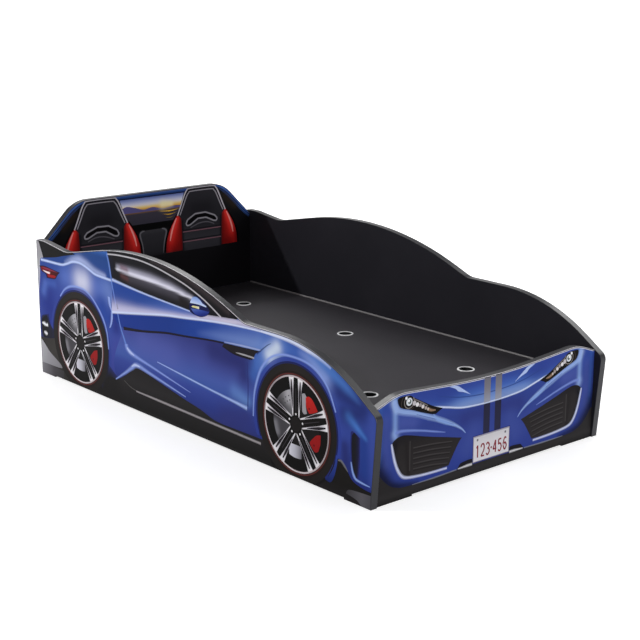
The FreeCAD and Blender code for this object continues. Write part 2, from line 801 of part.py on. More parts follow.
def make_rails():
    middle = size("inside_length") / 2 + size("panel_thickness")
    side_stations = [station - middle for station in side_rail_stations()]
    make_rail("right_deck_rail", "side_rail_length", side_stations, 0,
              "Worked.middle_x", "-Worked.half_inside", carries_bearers=True)
    make_rail("left_deck_rail", "side_rail_length", side_stations, 2,
              "Worked.middle_x", "Worked.half_inside", carries_bearers=True)
    make_rail("head_deck_rail", "cross_rail_length", cross_rail_stations(), 3,
              "Worked.deck_start_x", "0")
    make_rail("nose_deck_rail", "cross_rail_length", cross_rail_stations(), 1,
              "Worked.nose_panel_x", "0")


def make_bearers():
    """Two battens across the bed, hung between the side rails on angle brackets."""
    half_width = size("batten_depth") / 2
    half_length = size("cross_rail_length") / 2
    reach = size("half_inside") - size("batten_depth") - size("bracket_leg") / 2
    pilots = [circle(side * reach, height, size("pan_screw_diameter"))
              for side in (right, left) for height in bracket_pilot_heights()]
    for name, end in (("rear", -1), ("front", 1)):
        body = add_body(f"{name}_bearer")
        section = rectangle(-half_width, -half_length, half_width, half_length)
        sketch = add_sketch(body, f"{name}_bearer_plan", "XY_Plane", rounded_outline(section))
        add_pad(body, f"{name}_bearer_blank", sketch, "Sizes.batten_height")
        plan = add_sketch(body, f"{name}_bearer_pilot_plan", "YZ_Plane", pilots,
                          shift=f"{end} * Sizes.batten_depth / 2")
        add_pocket(body, f"{name}_bearer_pilots", plan, bracket_pilot_depth, backwards=end < 0)
        place(body, f"Worked.middle_x + {end} * Sizes.bearer_spacing / 2", "0", "Worked.rail_bottom")


# ---- fasteners --------------------------------------------------------------------------
# Each template stands on its own axis: Z points out of the piece that the fastener holds.


def turned_template(name, profile):
    """A turned piece from half its section, given as (radius, height)."""
    body = add_body(name, is_node=False)
    section = add_sketch(body, f"{name}_section", "XZ_Plane", closed_run(profile))
    add_revolution(body, f"{name}_turned", section)
    return body


def cut_cross_recess(body, name, top):
    """A screwdriver recess: two crossed slots in the head."""
    across = size("screw_recess_reach")
    half = size("screw_recess_width") / 2
    plus = [(-half, -across), (half, -across), (half, -half), (across, -half), (across, half),
            (half, half), (half, across), (-half, across), (-half, half), (-across, half),
            (-across, -half), (-half, -half)]
    sketch = add_sketch(body, f"{name}_recess_plan", "XY_Plane", closed_run(plus), shift=top)
    add_pocket(body, f"{name}_recess", sketch, "Sizes.screw_recess_depth")


def rail_screw_template():
    head = size("rail_screw_head_diameter") / 2
    shank = size("rail_screw_diameter") / 2
    length = size("rail_screw_length")
    point = size("screw_point_length") - length
    body = turned_template("rail_screw", [(0.0, -length), (shank, point), (shank, shank - head),
                                          (head, 0.0), (0.0, 0.0)])
    cut_cross_recess(body, "rail_screw", "0")
    return body


def pan_screw_template():
    head = size("pan_screw_head_diameter") / 2
    shank = size("pan_screw_diameter") / 2
    length = size("pan_screw_length")
    height = size("pan_screw_head_height")
    point = size("screw_point_length") - length
    body = turned_template("pan_screw", [(0.0, -length), (shank, point), (shank, 0.0), (head, 0.0),
                                         (head, height / 2), (head - height / 2, height), (0.0, height)])
    cut_cross_recess(body, "pan_screw", "Sizes.pan_screw_head_height")
    return body


def bolt_template():
    """Cam bolt: Z = 0 at the joint, thread downwards and head upwards."""
    thread = size("bolt_thread_diameter") / 2
    shank = size("bolt_shank_diameter") / 2
    neck = size("bolt_neck_diameter") / 2
    head = size("bolt_head_diameter") / 2
    head_start = size("cam_from_joint") - size("bolt_head_length") / 2
    neck_start = size("cam_from_joint") - size("cam_diameter") / 2
    profile = [(0.0, -size("bolt_thread_length")), (thread, -size("bolt_thread_length")), (thread, 0.0),
               (shank, 0.0), (shank, neck_start), (neck, neck_start), (neck, head_start),
               (head, head_start), (head, head_start + size("bolt_head_length")),
               (0.0, head_start + size("bolt_head_length"))]
    return turned_template("cam_bolt", profile)


def cam_template():
    """Cam disc: Z = 0 at its visible face, with the bolt's channel in from one side."""
    radius = size("cam_diameter") / 2
    socket = size("cam_socket_diameter") / 2
    deep = size("cam_socket_depth")
    body = turned_template("cam", [(0.0, -size("cam_height")), (radius, -size("cam_height")), (radius, 0.0),
                                   (socket, 0.0), (socket, -deep), (0.0, -deep)])
    level = size("cam_sink") - size("cam_axis_depth")
    channel = size("bolt_head_diameter") + 2 * size("cam_channel_clearance")
    plan = add_sketch(body, "cam_channel_plan", "XZ_Plane", [circle(0.0, level, channel)],
                      shift="Sizes.cam_diameter")
    depth = "Sizes.cam_diameter + Sizes.bolt_head_length / 2 + 2 * Sizes.cam_channel_clearance"
    add_pocket(body, "cam_channel", plan, depth)
    return body


def cap_template():
    """Cover cap: Z = 0 at the panel's face, with a pin that enters the cam's socket."""
    rim = size("cap_diameter") / 2
    pin = size("cap_pin_diameter") / 2
    height = size("cap_height")
    length = size("cap_pin_length")
    return turned_template("cam_cap", [(0.0, -length), (pin, -length), (pin, 0.0), (rim, 0.0),
                                       (rim, height / 2), (rim - height, height), (0.0, height)])


def dowel_template():
    """Wooden dowel: Z = 0 at the joint."""
    radius = size("dowel_diameter") / 2
    cut = size("dowel_chamfer")
    low = -size("dowel_in_side")
    high = low + size("dowel_length")
    return turned_template("dowel", [(0.0, low), (radius - cut, low), (radius, low + cut),
                                     (radius, high - cut), (radius - cut, high), (0.0, high)])


def joint_placements(choose):
    """One placement for each bolt or dowel, along Y from the side panel into the cross panel."""
    placements = []
    for station, fittings in cross_joint_stations().items():
        for side in (right, left):
            for height in choose(fittings):
                base = Vector(size("rear_x") + station, side * size("half_inside"), height)
                placements.append(Placement(base, Rotation(up_axis, Vector(0, -side, 0))))
    return placements


def cam_placements():
    """Cams and caps, in the headboard's rear face and the nose panel's inner face."""
    across = size("half_inside") - size("cam_from_joint")
    faces = ((size("rear_x"), head_fittings()), (size("nose_panel_x"), nose_fittings()))
    placements = []
    for face, (cam_heights, _) in faces:
        for side in (right, left):
            # the cam faces backwards, and its channel, cut towards its own -Y, meets the joint
            aim = Rotation(Vector(0, 0, -side), Vector(0, -side, 0), Vector(-1, 0, 0), "ZXY")
            for height in cam_heights:
                placements.append(Placement(Vector(face, side * across, height), aim))
    return placements


def rail_screw_placements():
    """Screws with their heads flush in the rails' open faces."""
    height = size("rail_middle")
    placements = []
    for side in (right, left):
        for station in side_rail_stations():
            across = side * (size("half_inside") - size("batten_depth"))
            base = Vector(size("rear_x") + station, across, height)
            placements.append(Placement(base, Rotation(up_axis, Vector(0, -side, 0))))
    for face, inward in ((size("deck_start_x"), 1), (size("nose_panel_x"), -1)):
        for station in cross_rail_stations():
            base = Vector(face + inward * size("batten_depth"), station, height)
            placements.append(Placement(base, Rotation(up_axis, Vector(inward, 0, 0))))
    return placements


# ---- angle brackets ---------------------------------------------------------------------
# Local frame: the corner between rail and bearer, one leg along X on the rail and the other
# along Y on the bearer, Z = 0 at the foot of the bracket.


def bracket_template():
    leg = size("bracket_leg")
    sheet_metal = size("bracket_sheet")
    body = add_body("bearer_bracket", is_node=False)
    angle = [(0.0, 0.0, 0.0), (leg, 0.0, 0.0), (leg, sheet_metal, 0.0),
             (sheet_metal, sheet_metal, sheet_metal), (sheet_metal, leg, 0.0), (0.0, leg, 0.0)]
    add_pad(body, "bracket_blank", add_sketch(body, "bracket_plan", "XY_Plane", rounded_outline(angle)),
            "Sizes.bracket_height")
    hole = size("pan_screw_diameter") + 2 * size("screw_clearance")
    circles = [circle(size("bracket_leg") / 2, height, hole) for height in bracket_screw_heights()]
    on_rail = add_sketch(body, "bracket_rail_hole_plan", "XZ_Plane", circles)
    add_pocket(body, "bracket_rail_holes", on_rail, "Sizes.bracket_sheet")
    on_bearer = add_sketch(body, "bracket_bearer_hole_plan", "YZ_Plane", circles)
    add_pocket(body, "bracket_bearer_holes", on_bearer, "Sizes.bracket_sheet", backwards=True)
    return body


def bracket_placements():
    """A bracket at each end of each bearer, on the face away from the middle of the bed."""
    foot = size("rail_bottom") + (size("batten_height") - size("bracket_height")) / 2
    rail_face = size("half_inside") - size("batten_depth")
    out = (size("bearer_spacing") + size("batten_depth")) / 2
    placements = []
    for end in (-1, 1):
        for side in (right, left):
            along_rail = Vector(end, 0, 0)
            along_bearer = Vector(0, -side, 0)
            upwards = along_rail.cross(along_bearer)
            # two of the four stand on their heads
            base = Vector(size("middle_x") + end * out, side * rail_face, foot)
            if upwards.z < 0:
                base.z += size("bracket_height")
            placements.append(Placement(base, Rotation(along_rail, along_bearer, upwards, "ZXY")))
    return placements


def bracket_screw_placements():
    """Two screws through each leg of each bracket."""
    middle = size("bracket_leg") / 2
    thick = size("bracket_sheet")
    placements = []
    for bracket in bracket_placements():
        for height in bracket_screw_heights():
            on_rail = Placement(Vector(middle, thick, height), Rotation(up_axis, Vector(0, 1, 0)))
            on_bearer = Placement(Vector(thick, middle, height), Rotation(up_axis, Vector(1, 0, 0)))
            placements += [bracket * on_rail, bracket * on_bearer]
    return placements


# ---- the bed ----------------------------------------------------------------------------

for side_name, side in sides.items():
    make_side_panel(side_name, side)
    make_side_band(side_name, side)
    make_side_print(side_name, side)
make_headboard()
make_nose()
make_deck()
make_vent_rings()
make_rails()
make_bearers()
group("bearer_brackets", bracket_template(), bracket_placements())
group("bracket_screws", pan_screw_template(), bracket_screw_placements())
group("rail_screws", rail_screw_template(), rail_screw_placements())
group("cam_bolts", bolt_template(), joint_placements(lambda fittings: fittings[0]))
group("cam_housings", cam_template(), [
    placement * Placement(Vector(0, 0, -size("cam_sink")), Rotation()) for placement in cam_placements()])
group("cam_caps", cap_template(), cam_placements())
group("dowels", dowel_template(), joint_placements(lambda fittings: fittings[1]))

doc.recompute()
for thing in doc.Objects:
    if "Invalid" in thing.State or "Error" in thing.State:
        raise RuntimeError(f"{thing.Label} failed: {thing.State}")
for node in nodes:
    if node.Shape.isNull() or not node.Shape.isValid():
        raise RuntimeError(f"{node.Label} has no valid shape")
for node in nodes:
    node.Shape.exportStep(f"parts/{node.Label}.step")
    print(f"{node.Label}: {len(node.Shape.Solids)} solid(s), {node.Shape.Volume / 1000:.1f} cm3")
whole = Part.Compound([node.Shape for node in nodes]).optimalBoundingBox(False)
print(f"overall {whole.XLength:.1f} x {whole.YLength:.1f} x {whole.ZLength:.1f} mm, "
      f"from x {whole.XMin:.1f}, y {whole.YMin:.1f}, z {whole.ZMin:.1f}")
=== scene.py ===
import math

import bmesh
import bpy
import numpy as np
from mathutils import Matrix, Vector
from mathutils.geometry import delaunay_2d_cdt, interpolate_bezier


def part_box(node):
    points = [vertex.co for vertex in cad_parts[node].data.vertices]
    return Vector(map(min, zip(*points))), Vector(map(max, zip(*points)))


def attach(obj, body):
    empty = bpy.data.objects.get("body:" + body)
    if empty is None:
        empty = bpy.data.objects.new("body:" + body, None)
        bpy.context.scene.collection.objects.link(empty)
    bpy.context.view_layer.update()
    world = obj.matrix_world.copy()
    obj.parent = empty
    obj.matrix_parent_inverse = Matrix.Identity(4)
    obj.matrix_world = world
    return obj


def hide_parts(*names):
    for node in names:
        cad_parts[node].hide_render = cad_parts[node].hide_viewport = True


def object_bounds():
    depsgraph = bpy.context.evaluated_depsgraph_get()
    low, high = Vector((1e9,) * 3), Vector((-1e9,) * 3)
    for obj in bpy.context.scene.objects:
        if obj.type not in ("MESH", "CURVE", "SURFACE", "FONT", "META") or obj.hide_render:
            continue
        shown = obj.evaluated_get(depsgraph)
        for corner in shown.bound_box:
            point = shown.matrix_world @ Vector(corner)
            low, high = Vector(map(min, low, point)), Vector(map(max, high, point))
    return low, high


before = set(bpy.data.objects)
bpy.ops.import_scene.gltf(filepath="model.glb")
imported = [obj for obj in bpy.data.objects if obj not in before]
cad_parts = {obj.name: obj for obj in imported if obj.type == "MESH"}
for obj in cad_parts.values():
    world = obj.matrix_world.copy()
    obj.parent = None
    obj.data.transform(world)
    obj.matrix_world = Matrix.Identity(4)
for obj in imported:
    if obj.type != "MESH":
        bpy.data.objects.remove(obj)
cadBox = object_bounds()
millimetre = 0.001


# ---- colours and nodes

def linear(hexColour):
    # sRGB hex to the linear colour that a shader takes
    values = [int(hexColour[i:i + 2], 16) / 255 for i in (1, 3, 5)]
    return tuple(v / 12.92 if v <= 0.04045 else ((v + 0.055) / 1.055) ** 2.4 for v in values) + (1.0,)


def addNode(tree, kind, inputs=None, **settings):
    # one node, with its settings, and its inputs given as numbers or as other nodes' sockets
    node = tree.nodes.new(kind)
    for name, value in settings.items():
        setattr(node, name, value)
    for name, value in (inputs or {}).items():
        if isinstance(value, bpy.types.NodeSocket):
            tree.links.new(value, node.inputs[name])
        else:
            node.inputs[name].default_value = value
    return node


def newMaterial(name, constants):
    # a material with one Principled shader, whose constants sit on its own sockets
    material = bpy.data.materials.new(name)
    material.use_nodes = True
    tree = material.node_tree
    shader = tree.nodes["Principled BSDF"]
    for socket, value in constants.items():
        shader.inputs[socket].default_value = value
    return material, tree, shader


# ---- board, band and batten finishes
# A finish has two near colours, and two noises on Object coordinates: "cloud" runs between the
# colours, and "grain" moves the roughness and raises the surface. Each noise is given as cycles a
# metre, detail and stretch. "bump" is its strength and its height in metres.

even = (1, 1, 1)


def cloudedColour(tree, finish):
    # the colour of a finish; "contrast" is the part of the noise that runs between the two colours
    perMetre, detail, stretch = finish["cloud"]
    low, high = finish.get("contrast", (0.0, 1.0))
    place = addNode(tree, "ShaderNodeTexCoord")
    stretched = addNode(tree, "ShaderNodeMapping", {"Vector": place.outputs["Object"], "Scale": stretch})
    cloud = addNode(tree, "ShaderNodeTexNoise", {
        "Vector": stretched.outputs["Vector"], "Scale": perMetre, "Detail": detail, "Roughness": 0.55})
    level = addNode(tree, "ShaderNodeMapRange", {
        "Value": cloud.outputs["Fac"], "From Min": low, "From Max": high})
    mixed = addNode(tree, "ShaderNodeMix", {
        "Factor": level.outputs["Result"], 6: linear(finish["dark"]), 7: linear(finish["light"])},
        data_type="RGBA")
    return mixed.outputs[2]


def addGrain(tree, shader, finish):
    # the roughness and the bump of a finish
    perMetre, detail, stretch = finish["grain"]
    place = addNode(tree, "ShaderNodeTexCoord")
    stretched = addNode(tree, "ShaderNodeMapping", {"Vector": place.outputs["Object"], "Scale": stretch})
    grain = addNode(tree, "ShaderNodeTexNoise", {
        "Vector": stretched.outputs["Vector"], "Scale": perMetre, "Detail": detail, "Roughness": 0.55})
    if "roughness" in finish:
        low, high = finish["roughness"]
        rough = addNode(tree, "ShaderNodeMapRange", {
            "Value": grain.outputs["Fac"], "To Min": low, "To Max": high})
        tree.links.new(rough.outputs["Result"], shader.inputs["Roughness"])
    if "bump" in finish:
        strength, height = finish["bump"]
        bump = addNode(tree, "ShaderNodeBump", {
            "Height": grain.outputs["Fac"], "Strength": strength, "Distance": height})
        tree.links.new(bump.outputs["Normal"], shader.inputs["Normal"])


def makeSurface(name, finish, dark, light):
    # a plain material: one finish in two near colours
    finish = {**finish, "dark": dark, "light": light}
    material, tree, shader = newMaterial(name, finish["constants"])
    tree.links.new(cloudedColour(tree, finish), shader.inputs["Base Color"])
    addGrain(tree, shader, finish)
    return material


# melamine-faced chipboard, pressed with a fine pearl grain: a dark board with a blurred shine. The
# real grain is about 1 mm; it is drawn at 2.4 mm so that it shows
pearlMelamine = {"constants": {"Specular IOR Level": 0.12}, "cloud": (5, 3, even), "grain": (420, 2, even),
                 "roughness": (0.42, 0.52), "bump": (0.25, 0.0002)}

# extruded ABS edge band: satin, with faint lines along the run of the extrusion
extrudedAbs = {"constants": {"Specular IOR Level": 0.3}, "cloud": (14, 3, even),
               "grain": (260, 2, (0.06, 1.0, 0.06)), "roughness": (0.30, 0.42), "bump": (0.15, 0.0001)}

# planed softwood: growth rings seen from the side, with fine open grain along the batten
woodAlongX = {"constants": {"Roughness": 0.62}, "cloud": (90, 3, (0.05, 1, 1)), "contrast": (0.35, 0.65),
              "grain": (700, 2, (0.05, 1, 1)), "bump": (0.3, 0.0002)}
woodAlongY = {**woodAlongX, "cloud": (90, 3, (1, 0.05, 1)), "grain": (700, 2, (1, 0.05, 1))}

# bright zinc, plated from a bath: a pale metal, slightly mottled where the bath left its crystals
platedZinc = {"constants": {"Metallic": 1.0}, "cloud": (500, 4, even), "grain": (500, 4, even),
              "roughness": (0.25, 0.4)}

# die-cast zinc, left as it came from the die: a duller grey metal
dullZinc = {**platedZinc, "roughness": (0.35, 0.5)}

# moulded polythene from a spark-eroded mould: matt black with a fine even grain
mouldedPolythene = {"constants": {"Roughness": 0.5}, "cloud": (900, 2, even), "grain": (900, 2, even),
                    "bump": (0.2, 0.0001)}


def makeEdgeHighlightBand(name, facing, fadeFrom, fadeTo):
    # extruded ABS with a painted highlight on the round edge of its printed side: a thin light line
    # that fades along the bed, between a dark flat and the print
    finish = {**extrudedAbs, "dark": "#232327", "light": "#2c2c31", "pale": "#f4f0f8",
              "roughness": (0.26, 0.36), "bump": (0.12, 0.0001), "paleFrom": 0.03, "paleTo": 0.14,
              "leastPale": 0.15}
    material, tree, shader = newMaterial(name, finish["constants"])
    place = addNode(tree, "ShaderNodeTexCoord")
    # the round edge is where the face turns both outward and up
    outward = addNode(tree, "ShaderNodeVectorMath", {0: place.outputs["Normal"], 1: facing},
                      operation="DOT_PRODUCT")
    upward = addNode(tree, "ShaderNodeSeparateXYZ", {"Vector": place.outputs["Normal"]})
    turned = addNode(tree, "ShaderNodeMath", {0: outward.outputs["Value"], 1: upward.outputs["Z"]},
                     operation="MULTIPLY")
    isRound = addNode(tree, "ShaderNodeMapRange", {
        "Value": turned.outputs["Value"], "From Min": finish["paleFrom"], "From Max": finish["paleTo"]})
    along = addNode(tree, "ShaderNodeSeparateXYZ", {"Vector": place.outputs["Object"]})
    highlightFade = addNode(tree, "ShaderNodeMapRange", {
        "Value": along.outputs["X"], "From Min": fadeFrom, "From Max": fadeTo, "To Min": 1.0,
        "To Max": finish["leastPale"]})
    pale = addNode(tree, "ShaderNodeMath", {0: isRound.outputs["Result"], 1: highlightFade.outputs["Result"]},
                   operation="MULTIPLY")
    # the round edge drawn pale: a painted highlight
    highlightedColour = addNode(tree, "ShaderNodeMix", {
        "Factor": pale.outputs["Value"], 6: cloudedColour(tree, finish), 7: linear(finish["pale"])},
        data_type="RGBA")
    tree.links.new(highlightedColour.outputs[2], shader.inputs["Base Color"])
    addGrain(tree, shader, finish)
    return material


def makeRingAbs():
    # moulded ABS with a pale silver lacquer on its rim: bright and even, with a soft shine; the sleeve
    # below the deck is drawn near black: painted shade for the dark inside of the hole
    finish = {"constants": {"Roughness": 0.28}, "rim": "#fafafc", "sleeve": "#141416",
              "grain": (900, 2, even), "bump": (0.08, 0.0001)}
    material, tree, shader = newMaterial("lacqueredRingAbs", finish["constants"])
    place = addNode(tree, "ShaderNodeTexCoord")
    height = addNode(tree, "ShaderNodeSeparateXYZ", {"Vector": place.outputs["Object"]})
    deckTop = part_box("deck_board")[1][2] - 0.2 * millimetre
    above = addNode(tree, "ShaderNodeMath", {0: height.outputs["Z"], 1: deckTop}, operation="GREATER_THAN")
    lacquered = addNode(tree, "ShaderNodeMix", {
        "Factor": above.outputs["Value"], 6: linear(finish["sleeve"]), 7: linear(finish["rim"])},
        data_type="RGBA")
    tree.links.new(lacquered.outputs[2], shader.inputs["Base Color"])
    addGrain(tree, shader, finish)
    return material


def dress(nodes, material):
    # gives CAD nodes their finish; their meshes stay as they are
    for name in nodes:
        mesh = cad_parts[name].data
        mesh.materials.clear()
        mesh.materials.append(material)


melamineBlack = makeSurface("melamineBlackPearl", pearlMelamine, "#222127", "#2d2c32")
melamineGraphite = makeSurface("melamineGraphitePearl", pearlMelamine, "#333135", "#3b393e")
deckBand = makeSurface("edgeBandAbsBlack", extrudedAbs, "#232326", "#2c2c30")
beadGrey = makeSurface("beadAbsGrey", extrudedAbs, "#7e7b7c", "#8b8889")
pineAlong = makeSurface("planedPineAlong", woodAlongX, "#b48a58", "#d0ab78")
pineAcross = makeSurface("planedPineAcross", woodAlongY, "#b48a58", "#d0ab78")
beech = makeSurface("beechDowel", woodAlongY, "#b98e63", "#cda77c")
zincPlate = makeSurface("zincPlatedSteel", platedZinc, "#b4b4b0", "#d2d2d0")
castZinc = makeSurface("dieCastZinc", dullZinc, "#8e8e8f", "#a9a9aa")
capPolythene = makeSurface("mouldedCapPolythene", mouldedPolythene, "#151517", "#1d1d1f")

dress(["right_side_panel", "left_side_panel", "headboard_panel", "nose_panel"], melamineBlack)
dress(["deck_board"], melamineGraphite)
dress(["deck_edge_band"], deckBand)
# the painted highlight fades in front of the middle of the sides; it is whole on the nose
dress(["right_side_edge_band"], makeEdgeHighlightBand("absBandPaintedHighlightRight", (0, -1, 0), 0.30, 0.52))
dress(["left_side_edge_band"], makeEdgeHighlightBand("absBandPaintedHighlightLeft", (0, 1, 0), 0.30, 0.52))
dress(["headboard_edge_band"], makeEdgeHighlightBand("absBandPaintedHighlightHead", (1, 0, 0), -1.0, -0.9))
dress(["nose_edge_band"], makeEdgeHighlightBand("absBandPaintedHighlightNose", (1, 0, 0), 1.0, 2.0))
dress([f"deck_vent_ring_{number}" for number in range(1, 7)], makeRingAbs())
dress(["right_deck_rail", "left_deck_rail"], pineAlong)
dress(["head_deck_rail", "nose_deck_rail", "rear_bearer", "front_bearer"], pineAcross)
dress(["dowels"], beech)
dress(["bearer_brackets", "bracket_screws", "rail_screws", "cam_bolts"], zincPlate)
dress(["cam_housings"], castZinc)
dress(["cam_caps"], capPolythene)
print("finishes on the carried-over pieces")


# ---- beads along the deck

# faces that meet at less than this are shaded as one smooth face
sharpAngle = math.radians(35)


def finishPiece(name, bm, material, nodes):
    # a finished mesh becomes a piece of the bed
    openEdges = sum(1 for e in bm.edges if not e.is_manifold)
    mesh = bpy.data.meshes.new(name)
    bm.to_mesh(mesh)
    bm.free()
    mesh.shade_smooth()
    mesh.set_sharp_from_angle(angle=sharpAngle)
    mesh.materials.append(material)
    piece = bpy.data.objects.new(name, mesh)
    bpy.context.scene.collection.objects.link(piece)
    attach(piece, "root")
    if nodes:
        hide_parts(*nodes)
    print(f"{name}: {len(mesh.polygons)} faces, {openEdges} open edges")


# millimetres: the radius of the round face, and the gap at each end
deckBead = {"radius": 3.2, "endGap": 1.0}


def makeDeckBeads():
    # a quarter-round bead covers the joint between the deck and each side panel
    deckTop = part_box("deck_board")[1][2]
    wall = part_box("left_side_panel")[0][1]
    radius = deckBead["radius"] * millimetre
    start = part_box("headboard_panel")[1][0] + deckBead["endGap"] * millimetre
    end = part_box("nose_panel")[0][0] - deckBead["endGap"] * millimetre
    for name, way in (("leftDeckBead", 1), ("rightDeckBead", -1)):
        bm = bmesh.new()
        corner = Vector((start, way * wall, deckTop))
        foot = bm.verts.new(corner - Vector((0, way * radius, 0)))
        middle = bm.verts.new(corner)
        bm.edges.new((foot, middle))
        # the round face is spun about the joint's own line
        spun = bmesh.ops.spin(bm, geom=[foot], cent=corner, axis=(1, 0, 0), angle=-way * math.pi / 2,
                              steps=4)["geom_last"]
        last = next(v for v in spun if isinstance(v, bmesh.types.BMVert))
        bm.edges.new((last, middle))
        bmesh.ops.contextual_create(bm, geom=bm.edges)
        grown = bmesh.ops.extrude_face_region(bm, geom=bm.faces[:])["geom"]
        moving = [v for v in grown if isinstance(v, bmesh.types.BMVert)]
        bmesh.ops.translate(bm, verts=moving, vec=(end - start, 0, 0))
        bmesh.ops.recalc_face_normals(bm, faces=bm.faces)
        finishPiece(name, bm, beadGrey, [])


makeDeckBeads()
print("deck beads")


# ---- drawing the printed films
# A print is drawn in millimetres on a flat sheet: across, up. It is a list of layers, each
# with a shape (or None for the whole sheet) and an ink, laid down in order. The sheet is cut
# along every outline, so that edges stay sharp, and each corner of each face gets its colour.

def smoothRun(points, steps=6):
    # a curve through all the points; two points stay a straight line
    if len(points) == 2:
        return [tuple(p) for p in points]
    spots = [Vector(p) for p in points]
    slopes = []
    for i in range(len(spots)):
        slopes.append((spots[min(i + 1, len(spots) - 1)] - spots[max(i - 1, 0)]) / 2)
    run = []
    for i in range(len(spots) - 1):
        start, end = spots[i], spots[i + 1]
        stretch = interpolate_bezier(start, start + slopes[i] / 3, end - slopes[i + 1] / 3, end, steps + 1)
        run += [(p[0], p[1]) for p in stretch[:-1]]
    run.append(tuple(points[-1]))
    return run


def outline(*runs):
    # a closed loop of curves that meet at corners; each one starts where the one before it ended
    samePoint = 0.05
    loop, corner = [], None
    for run in runs:
        if corner and run[0] != corner:
            run = [corner, *run]
        for point in smoothRun(run):
            if not loop or math.dist(point, loop[-1]) > samePoint:
                loop.append(point)
        corner = run[-1]
    if math.dist(loop[0], loop[-1]) < samePoint:
        loop.pop()
    return [loop]


def polygon(*points):
    return [[tuple(p) for p in points]]


def disc(centre, radius, sides=72):
    return [[(centre[0] + radius * math.cos(2 * math.pi * i / sides),
              centre[1] + radius * math.sin(2 * math.pi * i / sides)) for i in range(sides)]]


def ring(centre, outer, inner, sides=72):
    return disc(centre, outer, sides) + disc(centre, inner, sides)


def stripe(points, widths, steps=6):
    # a band along a curve, with one width, or one at each point
    run = smoothRun(points, steps)
    widths = np.atleast_1d(widths)  # spread evenly over the run's points
    wide = np.interp(np.linspace(0, 1, len(run)), np.linspace(0, 1, len(widths)), widths)
    upper, lower = [], []
    for i, point in enumerate(run):
        before, after = run[max(i - 1, 0)], run[min(i + 1, len(run) - 1)]
        length = math.dist(before, after) or 1.0
        across = (-(after[1] - before[1]) / length, (after[0] - before[0]) / length)
        half = wide[i] / 2
        upper.append((point[0] + across[0] * half, point[1] + across[1] * half))
        lower.append((point[0] - across[0] * half, point[1] - across[1] * half))
    return [upper + lower[::-1]]


def stops(spots, stopList):
    # colours and covers between stops of (place, hex, cover)
    places = [s[0] for s in stopList]
    colours = np.array([linear(s[1])[:3] for s in stopList])
    covers = [s[2] if len(s) > 2 else 1.0 for s in stopList]
    mixed = np.stack([np.interp(spots, places, colours[:, k]) for k in range(3)], axis=1)
    return mixed, np.interp(spots, places, covers)


def flat(hexColour, cover=1.0):
    return lambda spots: stops(np.zeros(len(spots)), [(0, hexColour, cover)])


def fade(start, end, stopList):
    # a linear blend from one place to another
    start, end = np.array(start, float), np.array(end, float)
    way = (end - start) / np.dot(end - start, end - start)
    return lambda spots: stops((spots - start) @ way, stopList)


def glow(points, width, hexColour, strength=1.0, sharp=2.0):
    # a soft stroke, or a soft spot, that dies away over its width; both can change along it
    run = np.array(smoothRun(points, 4) if len(points) > 2 else points, float)
    count = len(run)
    share = np.linspace(0, 1, count)
    widths = np.interp(share, np.linspace(0, 1, np.size(width)), np.atleast_1d(width))
    strengths = np.interp(share, np.linspace(0, 1, np.size(strength)), np.atleast_1d(strength))

    def ink(spots):
        best = np.zeros(len(spots))
        for i in range(max(count - 1, 1)):
            start = run[i]
            end = run[min(i + 1, count - 1)]
            way = end - start
            square = float(way @ way)
            along = np.zeros(len(spots)) if square == 0 else np.clip((spots - start) @ way / square, 0, 1)
            gap = np.linalg.norm(spots - (start + along[:, None] * way), axis=1)
            j = min(i + 1, count - 1)
            wide = widths[i] + (widths[j] - widths[i]) * along
            strong = strengths[i] + (strengths[j] - strengths[i]) * along
            best = np.maximum(best, strong * np.exp(-((gap / wide) ** sharp)))
        colour = np.tile(np.array(linear(hexColour)[:3]), (len(spots), 1))
        return colour, best
    return ink


def moved(shape, by, turn=0.0, flip=False):
    # a shape turned about its own origin, in degrees, and then moved
    cosine, sine = math.cos(math.radians(turn)), math.sin(math.radians(turn))
    done = []
    for loop in shape:
        spots = [(-x if flip else x, y) for x, y in loop]
        done.append([(by[0] + x * cosine - y * sine, by[1] + x * sine + y * cosine) for x, y in spots])
    return done


def mirrored(shape):
    return shape and [[(-x, y) for x, y in loop] for loop in shape]


def inside(spots, loops):
    # which spots lie in an odd number of loops
    found = np.zeros(len(spots), bool)
    for loop in loops:
        corners = np.array(loop)
        low, high = corners.min(axis=0), corners.max(axis=0)
        near = np.nonzero(np.all((spots >= low) & (spots <= high), axis=1))[0]
        if not len(near):
            continue
        x, y = spots[near, 0], spots[near, 1]
        crossed = np.zeros(len(near), bool)
        for (ax, ay), (bx, by) in zip(loop, loop[1:] + loop[:1]):
            if ay == by:
                continue
            straddles = (ay > y) != (by > y)
            crossed ^= straddles & (x < (bx - ax) * (y - ay) / (by - ay) + ax)
        found[near] ^= crossed
    return found


def sheetOutline(node, axis, outward):
    # the outline of a film's outer face in the bed's millimetres, from a merged copy of its mesh
    bm = bmesh.new()
    bm.from_mesh(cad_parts[node].data)
    bmesh.ops.remove_doubles(bm, verts=bm.verts, dist=0.01 * millimetre)
    away = [f for f in bm.faces if f.normal[axis] * outward < 0.9]
    bmesh.ops.delete(bm, geom=away, context="FACES")
    bmesh.ops.dissolve_faces(bm, faces=bm.faces)
    face = max(bm.faces, key=lambda f: f.calc_area())
    places = [v.co.copy() for v in face.verts]
    bm.free()
    flatAxis = 1 if axis == 0 else 0
    return [(p[flatAxis] / millimetre, p[2] / millimetre) for p in places]


def belowRim(node, axis, outward, shift, acrosses, inset):
    # points a little below a film's upper rim
    rim = [(x - shift, z) for x, z in sheetOutline(node, axis, outward)]
    upper = sorted(p for p in rim if p[1] > max(z for _, z in rim) / 2)
    places, heights = zip(*upper)
    return [(x, float(np.interp(x, places, heights)) - inset) for x in acrosses]


# the pitch of a film's grid, the distance within which two spots are one, and its bare back
film = {"pitch": 5.0, "near": 0.02, "backInk": (0.01, 0.01, 0.012, 1.0)}


